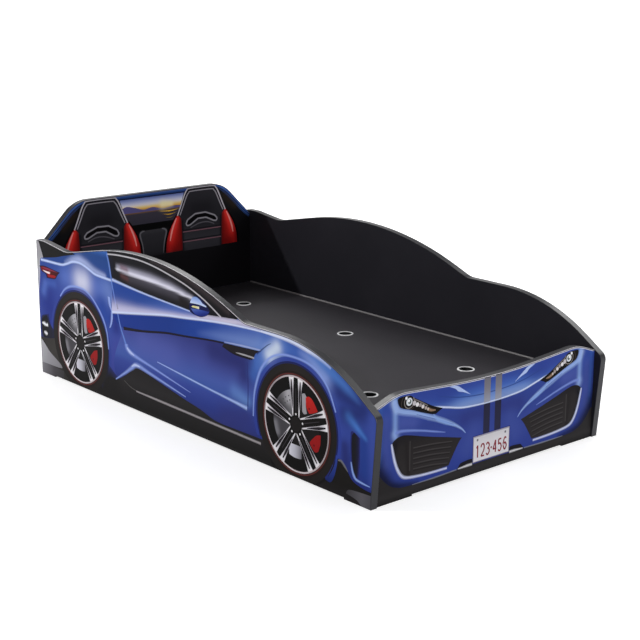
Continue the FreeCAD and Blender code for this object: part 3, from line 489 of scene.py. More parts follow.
def paintedFilm(name, node, axis, outward, shift, layers):
    # shift turns a print's across into the bed's own millimetres
    pitch = film["pitch"]
    rim = [(x - shift, z) for x, z in sheetOutline(node, axis, outward)]
    spots, edges = [], []

    def addLoop(loop):
        # no side of a loop is longer than the grid's pitch
        first = len(spots)
        for start, end in zip(loop, loop[1:] + loop[:1]):
            parts = max(1, math.ceil(math.dist(start, end) / pitch))
            spots.extend(Vector(start).lerp(Vector(end), part / parts) for part in range(parts))
        count = len(spots) - first
        edges.extend((first + i, first + (i + 1) % count) for i in range(count))

    addLoop(rim)
    for shape, _, *clip in layers:
        for loop in sum(clip, shape or []):
            addLoop(loop)
    # a grid of spots carries the soft shading
    low, high = np.min(rim, axis=0), np.max(rim, axis=0)
    grid = np.array([(x, z) for x in np.arange(low[0] + pitch / 2, high[0], pitch)
                     for z in np.arange(low[1] + pitch / 2, high[1], pitch)])
    spots += [Vector(p) for p in grid[inside(grid, [rim])]]
    cut = delaunay_2d_cdt(spots, edges, [], 0, film["near"])
    places = np.array([(v[0], v[1]) for v in cut[0]])
    faces = np.array(cut[2])
    middles = places[faces].mean(axis=1)
    faces = faces[inside(middles, [rim])]
    middles = places[faces].mean(axis=1)

    corners = places[faces].reshape(-1, 2)
    ink = np.zeros((len(corners), 3))
    for shape, colour, *clip in layers:
        picked = np.ones(len(faces), bool) if shape is None else inside(middles, shape)
        for limit in clip:
            picked &= inside(middles, limit)
        chosen = np.nonzero(np.repeat(picked, 3))[0]
        if len(chosen):
            shade, cover = colour(corners[chosen])
            cover = np.clip(cover, 0, 1)[:, None]
            ink[chosen] = ink[chosen] * (1 - cover) + shade * cover

    # the sheet in the bed: its face at the film's outer face, closed at the rim and the back
    lowBox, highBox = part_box(node)
    face, back = highBox[axis], lowBox[axis]
    if outward < 0:
        face, back = back, face
    along = (places[:, 0] + shift) * millimetre
    vertices = []
    for a, z in zip(along, places[:, 1] * millimetre):
        vertices.append((face, a, z) if axis == 0 else (a, face, z))
    sheet = bpy.data.meshes.new(name + "Sheet")
    sheet.from_pydata(vertices, [], faces.tolist())
    bm = bmesh.new()
    bm.from_mesh(sheet)
    bpy.data.meshes.remove(sheet)
    store = bm.loops.layers.float_color.new("print")
    bm.faces.ensure_lookup_table()
    for i, bmFace in enumerate(bm.faces):
        for k, loop in enumerate(bmFace.loops):
            loop[store] = (*ink[3 * i + k], 1.0)
    if bm.faces[0].normal[axis] * outward < 0:
        bmesh.ops.reverse_faces(bm, faces=bm.faces)
    loose = [v for v in bm.verts if not v.link_faces]
    bmesh.ops.delete(bm, geom=loose, context="VERTS")
    border = [e for e in bm.edges if e.is_boundary]
    grown = bmesh.ops.extrude_edge_only(bm, edges=border)["geom"]
    for v in grown:
        if isinstance(v, bmesh.types.BMVert):
            v.co[axis] = back
    bmesh.ops.holes_fill(bm, edges=[e for e in bm.edges if e.is_boundary], sides=0)
    bmesh.ops.triangulate(bm, faces=[f for f in bm.faces if len(f.verts) > 4])
    # its thin edge and its back are bare
    for bmFace in bm.faces:
        if abs(bmFace.normal[axis]) < 0.5 or bmFace.calc_center_median()[axis] == back:
            for loop in bmFace.loops:
                loop[store] = film["backInk"]
    bmesh.ops.recalc_face_normals(bm, faces=bm.faces)
    finishPiece(name, bm, printFilm, [node])


def makePrintFilm():
    # paper print under a satin laminate: the ink's own colour, a fine screen and a soft shine
    finish = {"constants": {"Specular IOR Level": 0.03}, "screenPerMetre": 800, "screen": (0.94, 1.06),
              "grain": (160, 2, even), "roughness": (0.30, 0.38), "bump": (0.04, 0.0001)}
    material, tree, shader = newMaterial("laminatedPrint", finish["constants"])
    ink = addNode(tree, "ShaderNodeAttribute", attribute_name="print")
    # the print's screen is about 0.2 mm; it is drawn at 1.2 mm so that it shows
    place = addNode(tree, "ShaderNodeTexCoord")
    screen = addNode(tree, "ShaderNodeTexNoise", {
        "Vector": place.outputs["Object"], "Scale": finish["screenPerMetre"], "Detail": 1.0,
        "Roughness": 0.55})
    low, high = finish["screen"]
    level = addNode(tree, "ShaderNodeMapRange", {
        "Value": screen.outputs["Fac"], "To Min": low, "To Max": high})
    shade = addNode(tree, "ShaderNodeVectorMath", {
        0: ink.outputs["Color"], "Scale": level.outputs["Result"]}, operation="SCALE")
    tree.links.new(shade.outputs["Vector"], shader.inputs["Base Color"])
    addGrain(tree, shader, finish)
    return material


printFilm = makePrintFilm()


# ---- side print
# across is millimetres from the rear edge, up is millimetres from the floor

def wheelLayers(centre):
    # one wheel: tyre, rim, brake disc and calipers behind five double spokes
    wheel = {"tyre": 138, "rimOuter": 112, "rimInner": 108.2, "redLine": 114.5, "disc": 79,
             "spokeAngles": (90, 18, 162, 234, 306), "bolts": 24, "boltSize": 2.6}
    cx, cz = centre

    def at(points):
        return [(cx + x, cz + z) for x, z in points]

    def aimed(angle, reach):
        return (cx + reach * math.cos(math.radians(angle)), cz + reach * math.sin(math.radians(angle)))

    hole = disc(centre, wheel["rimInner"], 96)
    brake = disc(centre, wheel["disc"], 80)
    layers = [
        (disc(centre, wheel["tyre"], 96), flat("#221f1e")),
        (disc(centre, wheel["tyre"], 96), glow([(cx, cz + 126), (cx, cz + 126)], 60, "#2b2726", 0.8)),
        (ring(centre, wheel["tyre"] - 16, wheel["redLine"]), flat("#221917")),
        (ring(centre, wheel["redLine"] + 2.2, wheel["redLine"] - 1), flat("#62302e")),
        (hole, flat("#0e0c0c")),
        (brake, flat("#1a1818")),
        # the disc in each gap: bright above left, darker below left, nearly white at the foot
        (brake, glow([aimed(126, 40), aimed(126, 70)], (30, 34), "#68676b", 1.0, 6.0)),
        (brake, glow([aimed(114, 60), aimed(110, 76)], (16, 18), "#b5b3b9", 0.95)),
        (brake, glow([aimed(146, 66), aimed(152, 50)], (16, 20), "#3c3a3e", 0.85)),
        (brake, glow([aimed(198, 40), aimed(198, 66)], (26, 30), "#47454a", 1.0, 6.0)),
        (brake, glow([aimed(190, 74), aimed(206, 74)], 9, "#8b8990", 0.8)),
        (polygon(*at([(-24, -80), (19, -80), (19, -48), (-24, -48)])),
         fade((cx - 24, cz), (cx + 19, cz), [(0, "#e0dfea"), (0.5, "#c3c2cd"), (1, "#77757e")]), brake),
        (ring(centre, 83, wheel["disc"]), flat("#0e0c0c")),
    ]
    for angle in (112, 122, 132, 142):
        for reach in (56, 66):
            layers.append((disc(aimed(angle, reach), 1.9, 10), flat("#47474a")))
    # the calipers, with the pale edge of the disc beside the upper one
    red = fade((cx + 40, cz + 70), (cx + 74, cz - 40), [(0, "#c22a26"), (0.4, "#a91f1e"), (1, "#961c1e")])
    layers += [
        (outline(at([(21, 76), (30, 79), (37, 72)]), at([(37, 72), (34, 54), (38, 34)]), at([(38, 34),
             (28, 31), (22, 36)]), at([(22, 36), (21, 56), (21, 76)])), flat("#a39fa6")),
        (outline(at([(34, 70), (44, 75), (58, 69), (75, 48)]), at([(75, 48), (62, 41), (46, 36)]),
             at([(46, 36), (36, 50), (34, 70)])), red),
        (outline(at([(84, -4), (83, -26), (76, -44)]), at([(76, -44), (66, -48), (56, -42)]), at([(56, -42),
             (48, -30), (60, -16)]), at([(60, -16), (70, -8), (84, -4)])), red),
        (disc(aimed(46, 66), 2.6, 12), flat("#5e1214")), (disc(aimed(-28, 70), 2.6, 12), flat("#5e1214")),
    ]
    # spokes, drawn pointing up and turned into place: a black gap between two bright bars
    outer = [(12, 15), (14, 40), (18, 71), (21, 90), (25, 108)]
    inner = [(7, 108), (8, 90), (9, 71), (9, 45), (9, 15)]
    for angle in wheel["spokeAngles"]:
        turn = angle - 90
        gap = outline(outer, [(-25, 108)], [(-x, y) for x, y in outer[::-1]])
        layers.append((moved(gap, centre, turn), flat("#100e0e"), hole))
        for flip in (False, True):
            bar = outline(outer, [(7, 108)], inner)
            layers += [
                (moved(bar, centre, turn, flip), fade(centre, aimed(angle, 108), [
                    (0.14, "#7d7980"), (0.22, "#e6e3e8"), (0.45, "#cfcbd3"), (0.72, "#b5b0b8"),
                    (0.88, "#dedae0"), (1, "#fbf8fb")]), hole),
                (moved(stripe([(11.4, 36), (12.6, 56), (14.4, 78), (15.6, 101)], [1, 4.6, 7, 3]), centre,
                       turn, flip), flat("#29262b")),
            ]
        layers.append((moved(stripe([(0, 30), (0, 84)], [2.4, 1.4]), centre, turn), flat("#38353a")))
    layers += [(disc(centre, 21, 40), flat("#100e0e")), (disc(centre, 17, 36), flat("#1d1a1a"))]
    for turn in range(5):
        layers.append((disc(aimed(90 + 72 * turn, wheel["bolts"]), wheel["boltSize"], 14), flat("#e9e6ea")))
    layers.append((ring(centre, wheel["rimOuter"], wheel["rimInner"], 96), fade(
        (cx - 60, cz - 110), (cx + 50, cz + 110), [(0, "#efe3e7"), (0.3, "#cbbec2"), (0.65, "#a3989c"),
                                                   (1, "#dccdd0")])))
    return layers


def softStripe(points, width, colour, cover=1.0, *clip):
    # a line with soft edges: faint wide stripes under a full one; its cover can change along it
    farReach = 1000.0  # so wide a glow that the ink is even across the line
    layers = []
    for wider, part in ((1.9, 0.30), (1.35, 0.45), (0.75, 1.0)):
        ink = glow(points, farReach, colour, np.multiply(cover, part))
        layers.append((stripe(points, np.multiply(width, wider).tolist()), ink, *clip))
    return layers


carBody = {
    # top of the body: the dark wedge of the tail, the crease over the rear wheel, the waist
    "tailWedgeTop": [(8, 386), (60, 392), (165, 378), (205, 369)],
    "tailWedgeUnder": [(205, 369), (150, 357), (100, 345), (36, 334)],
    "rearCrease": [(22, 327), (60, 328), (130, 330), (160, 337), (190, 347), (222, 350), (250, 346),
                   (280, 338), (302, 332), (340, 330), (383, 329)],
    "waist": [(384, 332), (500, 323), (600, 318), (700, 314), (762, 311)],
    "windowTrim": [(366, 396), (420, 401), (500, 403.5), (560, 400), (620, 392), (700, 377), (760, 360),
                   (800, 345), (850, 322)],
    "screenFoot": [(762, 311), (800, 314), (850, 320), (912, 328)],
    # the shoulder: a bright edge with a pale band above it and a dark band below it
    "shoulderEdge": [(378, 245), (500, 264), (620, 283), (700, 292), (800, 304), (900, 313), (1000, 318),
                     (1090, 318)],
    "frontEdge": [(1000, 319), (1060, 319.5), (1110, 317), (1150, 311), (1190, 302), (1215, 294),
                  (1240, 284)],
    "shoulderGap": [(430, 212), (520, 222), (620, 238), (700, 246), (800, 257), (860, 262)],
    "ventTop": [(860, 262), (960, 268.5), (1000, 271)],
    "ventFoot": [(980, 262), (968, 247), (958, 243), (900, 242), (852, 252)],
    "doorRear": [(362, 397), (372, 370), (380, 330), (388, 300), (402, 255), (415, 215), (428, 190),
                 (440, 168)],
    "doorCrease": [(440, 172), (444, 162), (460, 153), (500, 145), (550, 137), (620, 125), (720, 108)],
    "midCrease": [(580, 155), (700, 144), (800, 135), (900, 127), (945, 123)],
    "sillCrease": [(385, 66), (430, 93), (462, 113), (480, 124), (500, 125), (540, 118), (620, 105),
                   (700, 92)],
    "skirtTop": [(392, 66), (430, 86), (470, 111), (488, 119), (540, 112), (620, 98), (700, 84), (760, 75),
                 (810, 63), (850, 60)],
    "sillLine": [(480, 55), (600, 54), (800, 52), (995, 50)],
}


def sideShading():
    # the broad light and shade of the painted body, before any line
    lowerDoor = outline(carBody["shoulderGap"] + carBody["ventTop"][1:2], [(960, 268)], [(985, 200),
                        (985, 60)], [(850, 60)], carBody["skirtTop"][::-1], [(380, 120), (430, 212)])
    darkBand = outline(carBody["shoulderEdge"], [(1040, 290), (1000, 271)], carBody["ventTop"][::-1],
                       carBody["shoulderGap"][::-1], [(400, 220)])
    layers = [
        (None, fade((0, 40), (0, 413), [(0, "#252f78"), (0.2, "#36479a"), (0.38, "#3d51a6"),
             (0.6, "#3a4fa2"), (0.75, "#34509f"), (0.88, "#2c529c"), (1, "#2f59a6")])),
        # rear quarter
        (None, glow([(40, 250), (60, 190), (80, 140)], 60, "#202f86", 0.85)),
        (None, glow([(40, 262), (30, 240)], 16, "#5a78cc", 0.7)),
        (None, glow([(60, 268), (90, 268)], 12, "#4a6bc0", 0.5)),
        (None, glow([(150, 300), (330, 300)], 34, "#5a74c4", 0.8)),
        (None, glow([(228, 300), (242, 300)], (36, 36), "#d9dbf2", 0.95)),
        (None, glow([(360, 300), (372, 285)], 30, "#6b84c8", 0.8)),
        (None, glow([(330, 250), (350, 225)], 26, "#24469f", 0.8)),
        (None, glow([(392, 225), (395, 205)], 22, "#232f82", 0.85)),
        (None, glow([(400, 150), (390, 110)], 36, "#454ba0", 0.7)),
        # the door under the black line
        (lowerDoor, fade((700, 262), (700, 60), [
            (0, "#32387a"), (0.12, "#3a4186"), (0.3, "#46509c"), (0.5, "#4a5fae"), (0.6, "#445daa"),
            (0.68, "#3b4c9e"), (0.85, "#303f8e"), (1, "#2f3779")])),
        (lowerDoor, glow([(820, 236), (925, 228), (938, 205)], 34, "#2c3070", 0.9)),
        (lowerDoor, glow([(520, 190), (640, 180)], 44, "#5762b0", 0.6)),
        (lowerDoor, glow([(900, 150), (944, 138)], (20, 16), "#6f97da", (0.5, 0.9))),
        (lowerDoor, glow([(940, 100), (860, 78)], 36, "#34397c", 0.8)),
        # upper door
        (outline(carBody["waist"], [(800, 312), (700, 292)], [(378, 245)]),
         fade((500, 325), (520, 262), [(0, "#27479a"), (0.45, "#2c4c9c"), (1, "#4c68b6")])),
        (darkBand, fade((400, 240), (1060, 290), [(0, "#1f3990"), (0.35, "#1f3b8c"), (0.6, "#26479e"),
                                                  (0.8, "#4460b0"), (1, "#4c69b8")])),
        (darkBand, glow([(760, 266), (850, 276), (990, 284)], (8, 14, 22), "#7d97d4", (0.1, 0.45, 0.8))),
        # front wing
        (None, glow([(972, 210), (985, 240), (1010, 262)], 20, "#3f66b8", 0.8)),
        (None, glow([(1070, 300), (1180, 292)], 18, "#4468bc", 0.8)),
        (None, glow([(1000, 238), (1030, 272), (1075, 300)], (26, 36, 26), "#5f86d2", (0.5, 0.9, 0.5))),
        (None, glow([(1030, 270), (1056, 292)], (19, 17), "#d3dff5", 1.0)),
        (None, glow([(1140, 298), (1185, 284), (1222, 258), (1248, 218)], (10, 17, 22, 14), "#93aae8",
                    (0.3, 0.75, 0.85, 0.2))),
        (None, glow([(1245, 220), (1262, 150), (1258, 100)], 22, "#4054ae", 0.7)),
        (None, glow([(1270, 240), (1340, 215), (1290, 195)], 30, "#273272", 0.9)),
        (None, glow([(1285, 120), (1290, 80)], 18, "#2b3374", 0.9)),
        (None, glow([(1345, 150), (1350, 80)], 20, "#26408f", 0.8)),
        (None, glow([(1372, 200), (1376, 60)], 14, "#4053a6", 0.8)),
        (None, glow([(1298, 190), (1325, 172), (1352, 155)], (13, 8, 5), "#4c7fd0", (0.5, 0.9, 0.6))),
    ]
    return layers


def sideTop():
    # everything above the waist but the mirror: tail wedge, rear quarter, window and roof
    quarter = outline(carBody["tailWedgeUnder"][::-1], [(290, 425), (362, 425)], [(383, 331)], [(383, 329)],
                      carBody["rearCrease"][::-1])
    glass = outline(carBody["waist"], carBody["screenFoot"], [(960, 440)], [(360, 440)], [(366, 396),
                    (376, 362), (384, 332)])
    window = outline(carBody["waist"], [(850, 321)], [(850, 322)], carBody["windowTrim"][::-1], [(376, 362),
                     (384, 332)])
    layers = [
        (quarter, fade((240, 412), (240, 345), [(0, "#3766b6"), (0.22, "#2f5aa8"), (0.42, "#234788"),
                                                (1, "#284890")])),
        (quarter, glow([(270, 407), (362, 412)], 12, "#4a7ac6", 0.8)),
        (quarter, glow([(150, 340), (190, 353), (225, 359), (262, 352), (300, 341), (350, 336)], (4, 9, 11,
             11, 9, 6), "#a9b6e4", (0.3, 0.8, 0.95, 0.9, 0.85, 0.8))),
        (outline(carBody["tailWedgeTop"], carBody["tailWedgeUnder"]), flat("#0d0c0e")),
        (outline([(-4, 392), (12, 380), (36, 334)], [(18, 326), (14, 280), (6, 236)], [(2, 160),
             (-4, 160)]), fade((0, 390), (0, 170), [(0, "#8f8e94"), (0.35, "#b3b2b8"), (0.7, "#a3a6c4"),
             (1, "#30408c")])),
        (outline([(4, 372), (16, 372), (34, 336)], [(14, 330), (10, 290)]), flat("#a2a1a6", 0.8)),
    ]
    layers += softStripe(carBody["rearCrease"], 4.6, "#c6d6ff")
    layers += [
        # glass, with the roof above its trim
        (glass, flat("#0e0d12")),
        (glass, glow([(560, 410), (700, 394), (800, 366), (880, 338)], (3, 8, 9, 6), "#3b3336", 0.8)),
        (window, flat("#100f15")),
        (window, glow([(470, 350), (640, 344), (720, 338)], (14, 13, 9), "#45424c", 0.85)),
        (window, glow([(640, 372), (690, 360)], 9, "#37343d", 0.7)),
        (window, glow([(430, 350), (456, 346)], 7, "#5a3a3c", 0.9)),
        (window, glow([(690, 334), (712, 330)], (12, 12), "#1a1416", 0.9)),
        (window, glow([(410, 372), (470, 369), (560, 366), (650, 360), (740, 349)], (5, 8, 10, 8, 4),
                      "#b4b2c6", (0.7, 0.9, 0.9, 0.85, 0.7))),
        (window, glow([(405, 364), (470, 362), (560, 360), (650, 355), (740, 345)], (4, 5, 5, 4.5, 3),
                      "#eae8f8", (0.8, 0.95, 1, 0.95, 0.9), 4.0)),
        (window, glow([(430, 371), (455, 369)], 7, "#7c5a66", 0.75)),
        (window, glow([(392, 368), (396, 366)], 7, "#0e0d12", 0.95)),
        (window, glow([(386, 350), (384, 386)], 6, "#0d1024", 0.9)),
    ]
    layers += softStripe(carBody["windowTrim"], 2.6, "#cbc8cf")
    layers += softStripe(carBody["waist"], [5.5, 3.6, 3, 2.6, 2.4], "#b9c8f4")
    layers += softStripe(carBody["doorRear"], [4.5, 5, 4, 3.4, 3, 4, 5, 6], "#6f8fdc", 0.75)
    return layers


def sideShoulder():
    # the pale band along the shoulder, its bright lower edge, the black line and the side vent
    edge = carBody["shoulderEdge"]
    above = [(378, 306), (440, 310), (520, 312), (620, 313), (700, 313), (762, 314), (800, 318), (850, 323),
             (905, 328), (960, 331), (1090, 331)]
    band = outline(edge, [(1090, 331)], above[::-1])
    layers = [
        (band, glow([(378, 252), (500, 267), (620, 284), (700, 294), (760, 301)], (24, 15, 10, 8, 8),
             "#cdcaea", (1, 0.95, 0.9, 0.85, 0.8))),
        (band, glow([(760, 308), (850, 315), (905, 321), (1000, 325)], (8, 9, 8, 5), "#d6cfe6",
                    (0.8, 1, 1, 0.7))),
        (outline([(370, 282), (374, 262), (380, 246), (379, 225), (370, 205), (362, 198)], [(374, 214),
             (378, 236), (372, 250), (364, 262), (360, 284)]), flat("#9fb2ee", 0.9)),
    ]
    layers += softStripe([(364, 200), (372, 214), (376, 230), (376, 245)], [2, 5, 6, 4], "#9db2f0", 0.9)
    layers += softStripe(edge[:8], [5, 4.5, 4.5, 4, 4, 3.6, 3, 2.4], "#d9e2ff")
    layers += softStripe(carBody["frontEdge"], [3, 6, 7, 7.5, 7, 6, 4], "#dfe5fd",
                         (0.95, 0.95, 0.95, 0.95, 0.85, 0.5, 0.1))
    wedge = belowRim("right_side_print", 1, -1, rearEdge, (1170, 1210, 1250, 1290, 1330), 12)
    layers += [
        (None, glow(wedge, (7, 13, 15, 12, 6), "#4f7fce", (0.3, 0.75, 0.85, 0.7, 0.2))),
        (stripe([(402, 272), (406, 258)], [5, 7]), flat("#8f8eac", 0.7)),
        (stripe(carBody["shoulderGap"], [9, 6, 5.5, 5, 4.5, 5]), flat("#1b1724")),
        (outline(carBody["ventTop"], [(980, 262)], carBody["ventFoot"]), flat("#211d22")),
        (stripe([(905, 248.5), (930, 249.5), (974, 250)], [1, 4, 4]), flat("#a9a6ab")),
        (stripe([(862, 252), (880, 248), (905, 243.5), (960, 243.5)], [2.5, 2.5, 2, 2]), flat("#17141c")),
    ]
    layers += softStripe([(862, 265), (930, 270), (998, 273.5)], [1.5, 3, 2.5], "#a9b4e0", 0.8)
    layers += softStripe([(984, 262), (1000, 274), (1022, 290), (1035, 297)], [3, 3, 2, 1], "#27386f", 0.7)
    return layers


def sideMirror():
    return [
        (outline([(726, 312), (724, 322), (728, 340), (745, 353), (765, 354), (790, 342), (806, 328)],
             [(796, 316), (770, 307), (742, 308), (726, 312)]), flat("#12184a")),
        (outline([(727, 336), (736, 348), (750, 353), (766, 349), (778, 342), (792, 338)], [(790, 335),
             (760, 336), (727, 334)]),
         fade((760, 354), (760, 334), [(0, "#7396dc"), (0.5, "#a9c0f2"), (1, "#d2e0fb")])),
        (outline([(732, 325), (740, 329.5), (764, 331)], [(763, 325)]),
         fade((732, 328), (764, 328), [(0, "#f4f0c0"), (0.5, "#d9cf86"), (1, "#fbf6dc")])),
        (outline([(730, 321), (760, 324), (804, 326)], [(790, 314), (764, 308.5), (744, 311), (730, 321)]),
         fade((760, 326), (765, 309), [(0, "#5069b8"), (0.5, "#2c419a"), (1, "#1b2a78")])),
    ]


def sideLower():
    # door creases, sill, skirt, bumpers and lamps
    layers = [
        (outline(carBody["skirtTop"], [(1012, 62)], [(1040, 0)], [(1040, -4)], [(300, -4)], [(345, 60),
             (392, 66)]), fade((500, 115), (500, 0), [(0, "#221f20"), (0.35, "#2a2829"), (0.55, "#242223"),
             (0.9, "#1b1a1a"), (1, "#2f2e2f")])),
        (outline([(330, 120), (365, 90), (400, 70)], [(420, 60), (420, -4)], [(280, -4)]),
         glow([(290, -4), (350, 0), (350, 40)], 60, "#1d1b1c", 1.0, 4.0)),
        (stripe([(425, 71), (455, 60), (490, 55)], [1.5, 2.5, 3]), flat("#5b5857", 0.8)),
    ]
    layers += softStripe(carBody["sillLine"], [2.5, 4, 4, 4], "#a8a2a5", 0.95)
    layers += softStripe(carBody["sillCrease"], [2, 5, 8, 9, 8, 6, 4, 2], "#93a8ea", 0.8)
    layers += softStripe([(462, 117), (478, 124.5), (500, 124)], [2, 5, 2], "#c9d5fb", 0.9)
    layers += softStripe(carBody["doorCrease"], [9, 10, 9, 6, 4.5, 3.5, 1], "#8ea3ea", 0.85)
    layers += softStripe([(443, 163), (456, 155), (476, 149)], [3, 6, 2], "#c2cefa", 0.8)
    layers += softStripe(carBody["midCrease"], [1.5, 3, 3.4, 5, 7], "#a9bff4", 0.9)
    layers += softStripe([(948, 235), (950, 180), (948, 128)], [1.5, 3, 4], "#2b2f72", 0.6)
    # front corner: slot, splitter and grey foot
    layers += [
        (outline([(1304, 158), (1312, 162), (1334, 152)], [(1334, 100), (1330, 60)], [(1318, 56),
             (1308, 84), (1304, 120), (1304, 158)]), flat("#2b2f6c")),
        (outline([(1308, 152), (1316, 160), (1330, 152)], [(1330, 100), (1326, 61)], [(1318, 64),
             (1310, 90), (1307, 125), (1308, 152)]),
         fade((1305, 100), (1332, 100), [(0, "#191a28"), (0.5, "#1c1b1e"), (1, "#23244a")])),
    ]
    layers += softStripe([(1306, 92), (1310, 74), (1316, 62), (1324, 56), (1348, 53), (1366, 52)],
                         [2, 4, 5, 4, 3, 1], "#93b0f2", 0.9)
    layers += [
        (outline([(1222, 24), (1238, 50), (1256, 82), (1270, 88), (1284, 78), (1296, 66)], [(1312, 50),
             (1344, 42), (1372, 40)], [(1392, 34)], [(1392, -4)], [(1180, -4)]),
         fade((1290, 84), (1290, 0), [(0, "#1d1a19"), (0.6, "#1a1817"), (1, "#242123")])),
        (outline([(1258, 96), (1252, 70), (1238, 46), (1222, 28)], [(1240, 27), (1254, 50), (1262, 84),
             (1258, 96)]), fade((1258, 90), (1230, 26), [(0, "#3347a0"), (1, "#1d2b6a")])),
        (outline([(1290, 16), (1300, 27), (1340, 31), (1375, 33)], [(1392, 33)], [(1392, -4)], [(1345, -4)],
             [(1325, 10), (1290, 16)]),
         fade((1290, 20), (1372, 10), [(0, "#3f3d41"), (0.6, "#605e64"), (1, "#4e4c51")])),
    ]
    layers += softStripe([(1264, 84), (1274, 85), (1286, 76), (1296, 66)], [2, 4, 4, 1], "#77777c", 0.8)
    # rear corner: vent with two lamps, bumper, grey foot
    layers += [
        (outline([(6, 104), (10, 160), (30, 172), (52, 178)], [(58, 150), (88, 128), (104, 118)],
             [(60, 100), (6, 104)]), glow([(30, 140), (50, 120)], 44, "#1c1c2c", 1.0, 4.0)),
        (outline([(12, 156), (28, 168), (42, 172)], [(46, 150), (44, 118), (38, 110)], [(16, 108),
             (12, 156)]), flat("#131318", 0.9)),
    ]
    layers += softStripe([(14, 146), (26, 145), (34, 143), (44, 145)], [3, 8, 5, 7], "#f2f4fa")
    layers += softStripe([(22, 121), (32, 119), (40, 119)], [4, 8, 4], "#ecebf0")
    layers += [
        (outline([(-4, 104), (40, 106), (104, 119)], [(128, 60), (160, 20), (170, -4)], [(-4, -4)]),
         fade((30, 110), (80, 20), [(0, "#33302f"), (0.5, "#3b3836"), (1, "#2f2d2c")])),
        (outline([(-4, 104), (20, 88), (45, 70), (72, 58), (100, 46), (116, 36)], [(90, 32), (-4, 30)]),
         fade((0, 80), (100, 38), [(0, "#b4b3b9"), (0.4, "#9b9aa0"), (1, "#88878c")])),
        (outline([(-4, 30), (60, 30), (120, 28)], [(120, -4)], [(-4, -4)]),
         fade((0, 16), (150, 10), [(0, "#8d8c92"), (0.08, "#77757b"), (0.45, "#4c494e"), (1, "#2c2a2b")])),
    ]
    return layers


def tailLamp():
    return [
        (outline([(12, 308), (40, 312), (80, 309), (122, 306)], [(108, 296), (96, 284), (74, 281),
             (50, 280)], [(44, 290), (24, 294)]), flat("#1a1230")),
        (outline([(18, 306), (40, 309), (80, 307), (116, 304)], [(104, 294), (94, 285), (74, 283),
             (54, 282)], [(50, 292), (26, 297)]),
         fade((30, 300), (110, 290), [(0, "#7a101c"), (0.5, "#560a12"), (1, "#3c0a14")])),
        (outline([(22, 306), (60, 308), (112, 304)], [(60, 303), (22, 306)]), flat("#8e3048")),
        (outline([(54, 291), (90, 293), (100, 291)], [(90, 286), (58, 284)]), flat("#a11a22")),
        (outline([(28, 299), (45, 298.5), (70, 299)], [(66, 293), (45, 294), (28, 299)]), flat("#f3cfd2")),
        (stripe([(34, 297.5), (62, 296)], [1.5, 2.5]), flat("#fff2f2")),
    ]


def archLayers(centre, lipPoints, dark):
    # the lip of a wheel arch: a lighter turned edge, and the shadow against the tyre
    across, foot = centre[0], centre[1] - 60
    above = polygon((across - 200, foot), (across + 200, foot), (across + 200, 450), (across - 200, 450))
    layers = [
        (ring(centre, 153, 136, 96), flat("#34449a", 0.8), above),
        (ring(centre, 143, 136, 96), flat(dark, 0.85), above),
    ]
    layers += softStripe(lipPoints, [3, 4, 5, 5, 4.5, 4, 4, 4.5, 5, 4, 3], "#8fa6ea",
                         [0.2, 0.5, 0.7, 0.85, 0.85, 0.8, 0.8, 0.8, 0.7, 0.5, 0.1])
    return layers


wheels = {"rear": (214, 129), "front": (1122, 129)}
archLips = {
    "rear": [(118, 240), (140, 261), (165, 274), (190, 280), (220, 282), (250, 279), (280, 266), (310, 243),
             (335, 215), (350, 182), (355, 140)],
    "front": [(968, 110), (972, 160), (982, 195), (1000, 232), (1030, 262), (1070, 279), (1120, 283),
              (1165, 279), (1200, 266), (1232, 236), (1256, 190)],
}


def sideLayers():
    layers = sideShading() + sideTop() + sideShoulder() + sideMirror()
    for centre in wheels.values():
        across = centre[0]
        shadow = polygon((across - 145, -4), (across + 118, -4), (across + 95, 40), (across - 130, 62))
        layers.append((shadow, flat("#151314")))
    layers += archLayers(wheels["rear"], archLips["rear"], "#1a1c48")
    layers += archLayers(wheels["front"], archLips["front"], "#1a1c48")
    layers += sideLower() + tailLamp()
    layers += wheelLayers(wheels["rear"]) + wheelLayers(wheels["front"])
    return layers


rearEdge = cadBox[0][0] / millimetre
sidePicture = sideLayers()
paintedFilm("rightSidePrint", "right_side_print", 1, -1, rearEdge, sidePicture)
paintedFilm("leftSidePrint", "left_side_print", 1, 1, rearEdge, sidePicture)
print("side prints")


# ---- nose print
# across is millimetres from the middle of the bed, up is millimetres from the floor

nose = {
    "hoodEdge": [(0, 165), (50, 166), (100, 170), (140, 179), (170, 186), (190, 190)],
    "lamp": [[(297, 228), (290, 232), (262, 231), (245, 222), (215, 206), (190, 193), (160, 182)],
             [(172, 177), (185, 173), (215, 182), (255, 197), (285, 207), (294, 217), (297, 228)]],
    "brow": [(306, 228), (303, 212), (288, 201), (240, 186), (200, 170), (150, 149), (120, 134), (98, 120),
             (86, 108)],
    "grille": [[(312, 134), (300, 142), (284, 145), (262, 142), (200, 125), (98, 100)], [(112, 84),
               (138, 44)], [(200, 42), (252, 43), (276, 48), (291, 60), (301, 80), (308, 106), (312, 134)]],
    "chrome": [(313, 133), (309, 115), (303, 92), (294, 70), (281, 53), (264, 46), (230, 42), (190, 40),
               (143, 39)],
    "grilleBrow": [(302, 154), (288, 156), (260, 152), (220, 143), (180, 132), (150, 124)],
    "glint": [[(141, 226), (118, 224), (100, 214), (72, 195)], [(96, 205), (112, 210), (122, 218),
              (141, 226)]],
}


def bothSides(layers, add):
    # the nose is the same to the right and to the left
    for shape, ink, *clip in add:
        layers.append((shape, ink, *clip))
        layers.append((mirrored(shape), mirrorInk(ink), *[mirrored(limit) for limit in clip]))


def mirrorInk(ink):
    return lambda spots: ink(spots * np.array([-1.0, 1.0]))


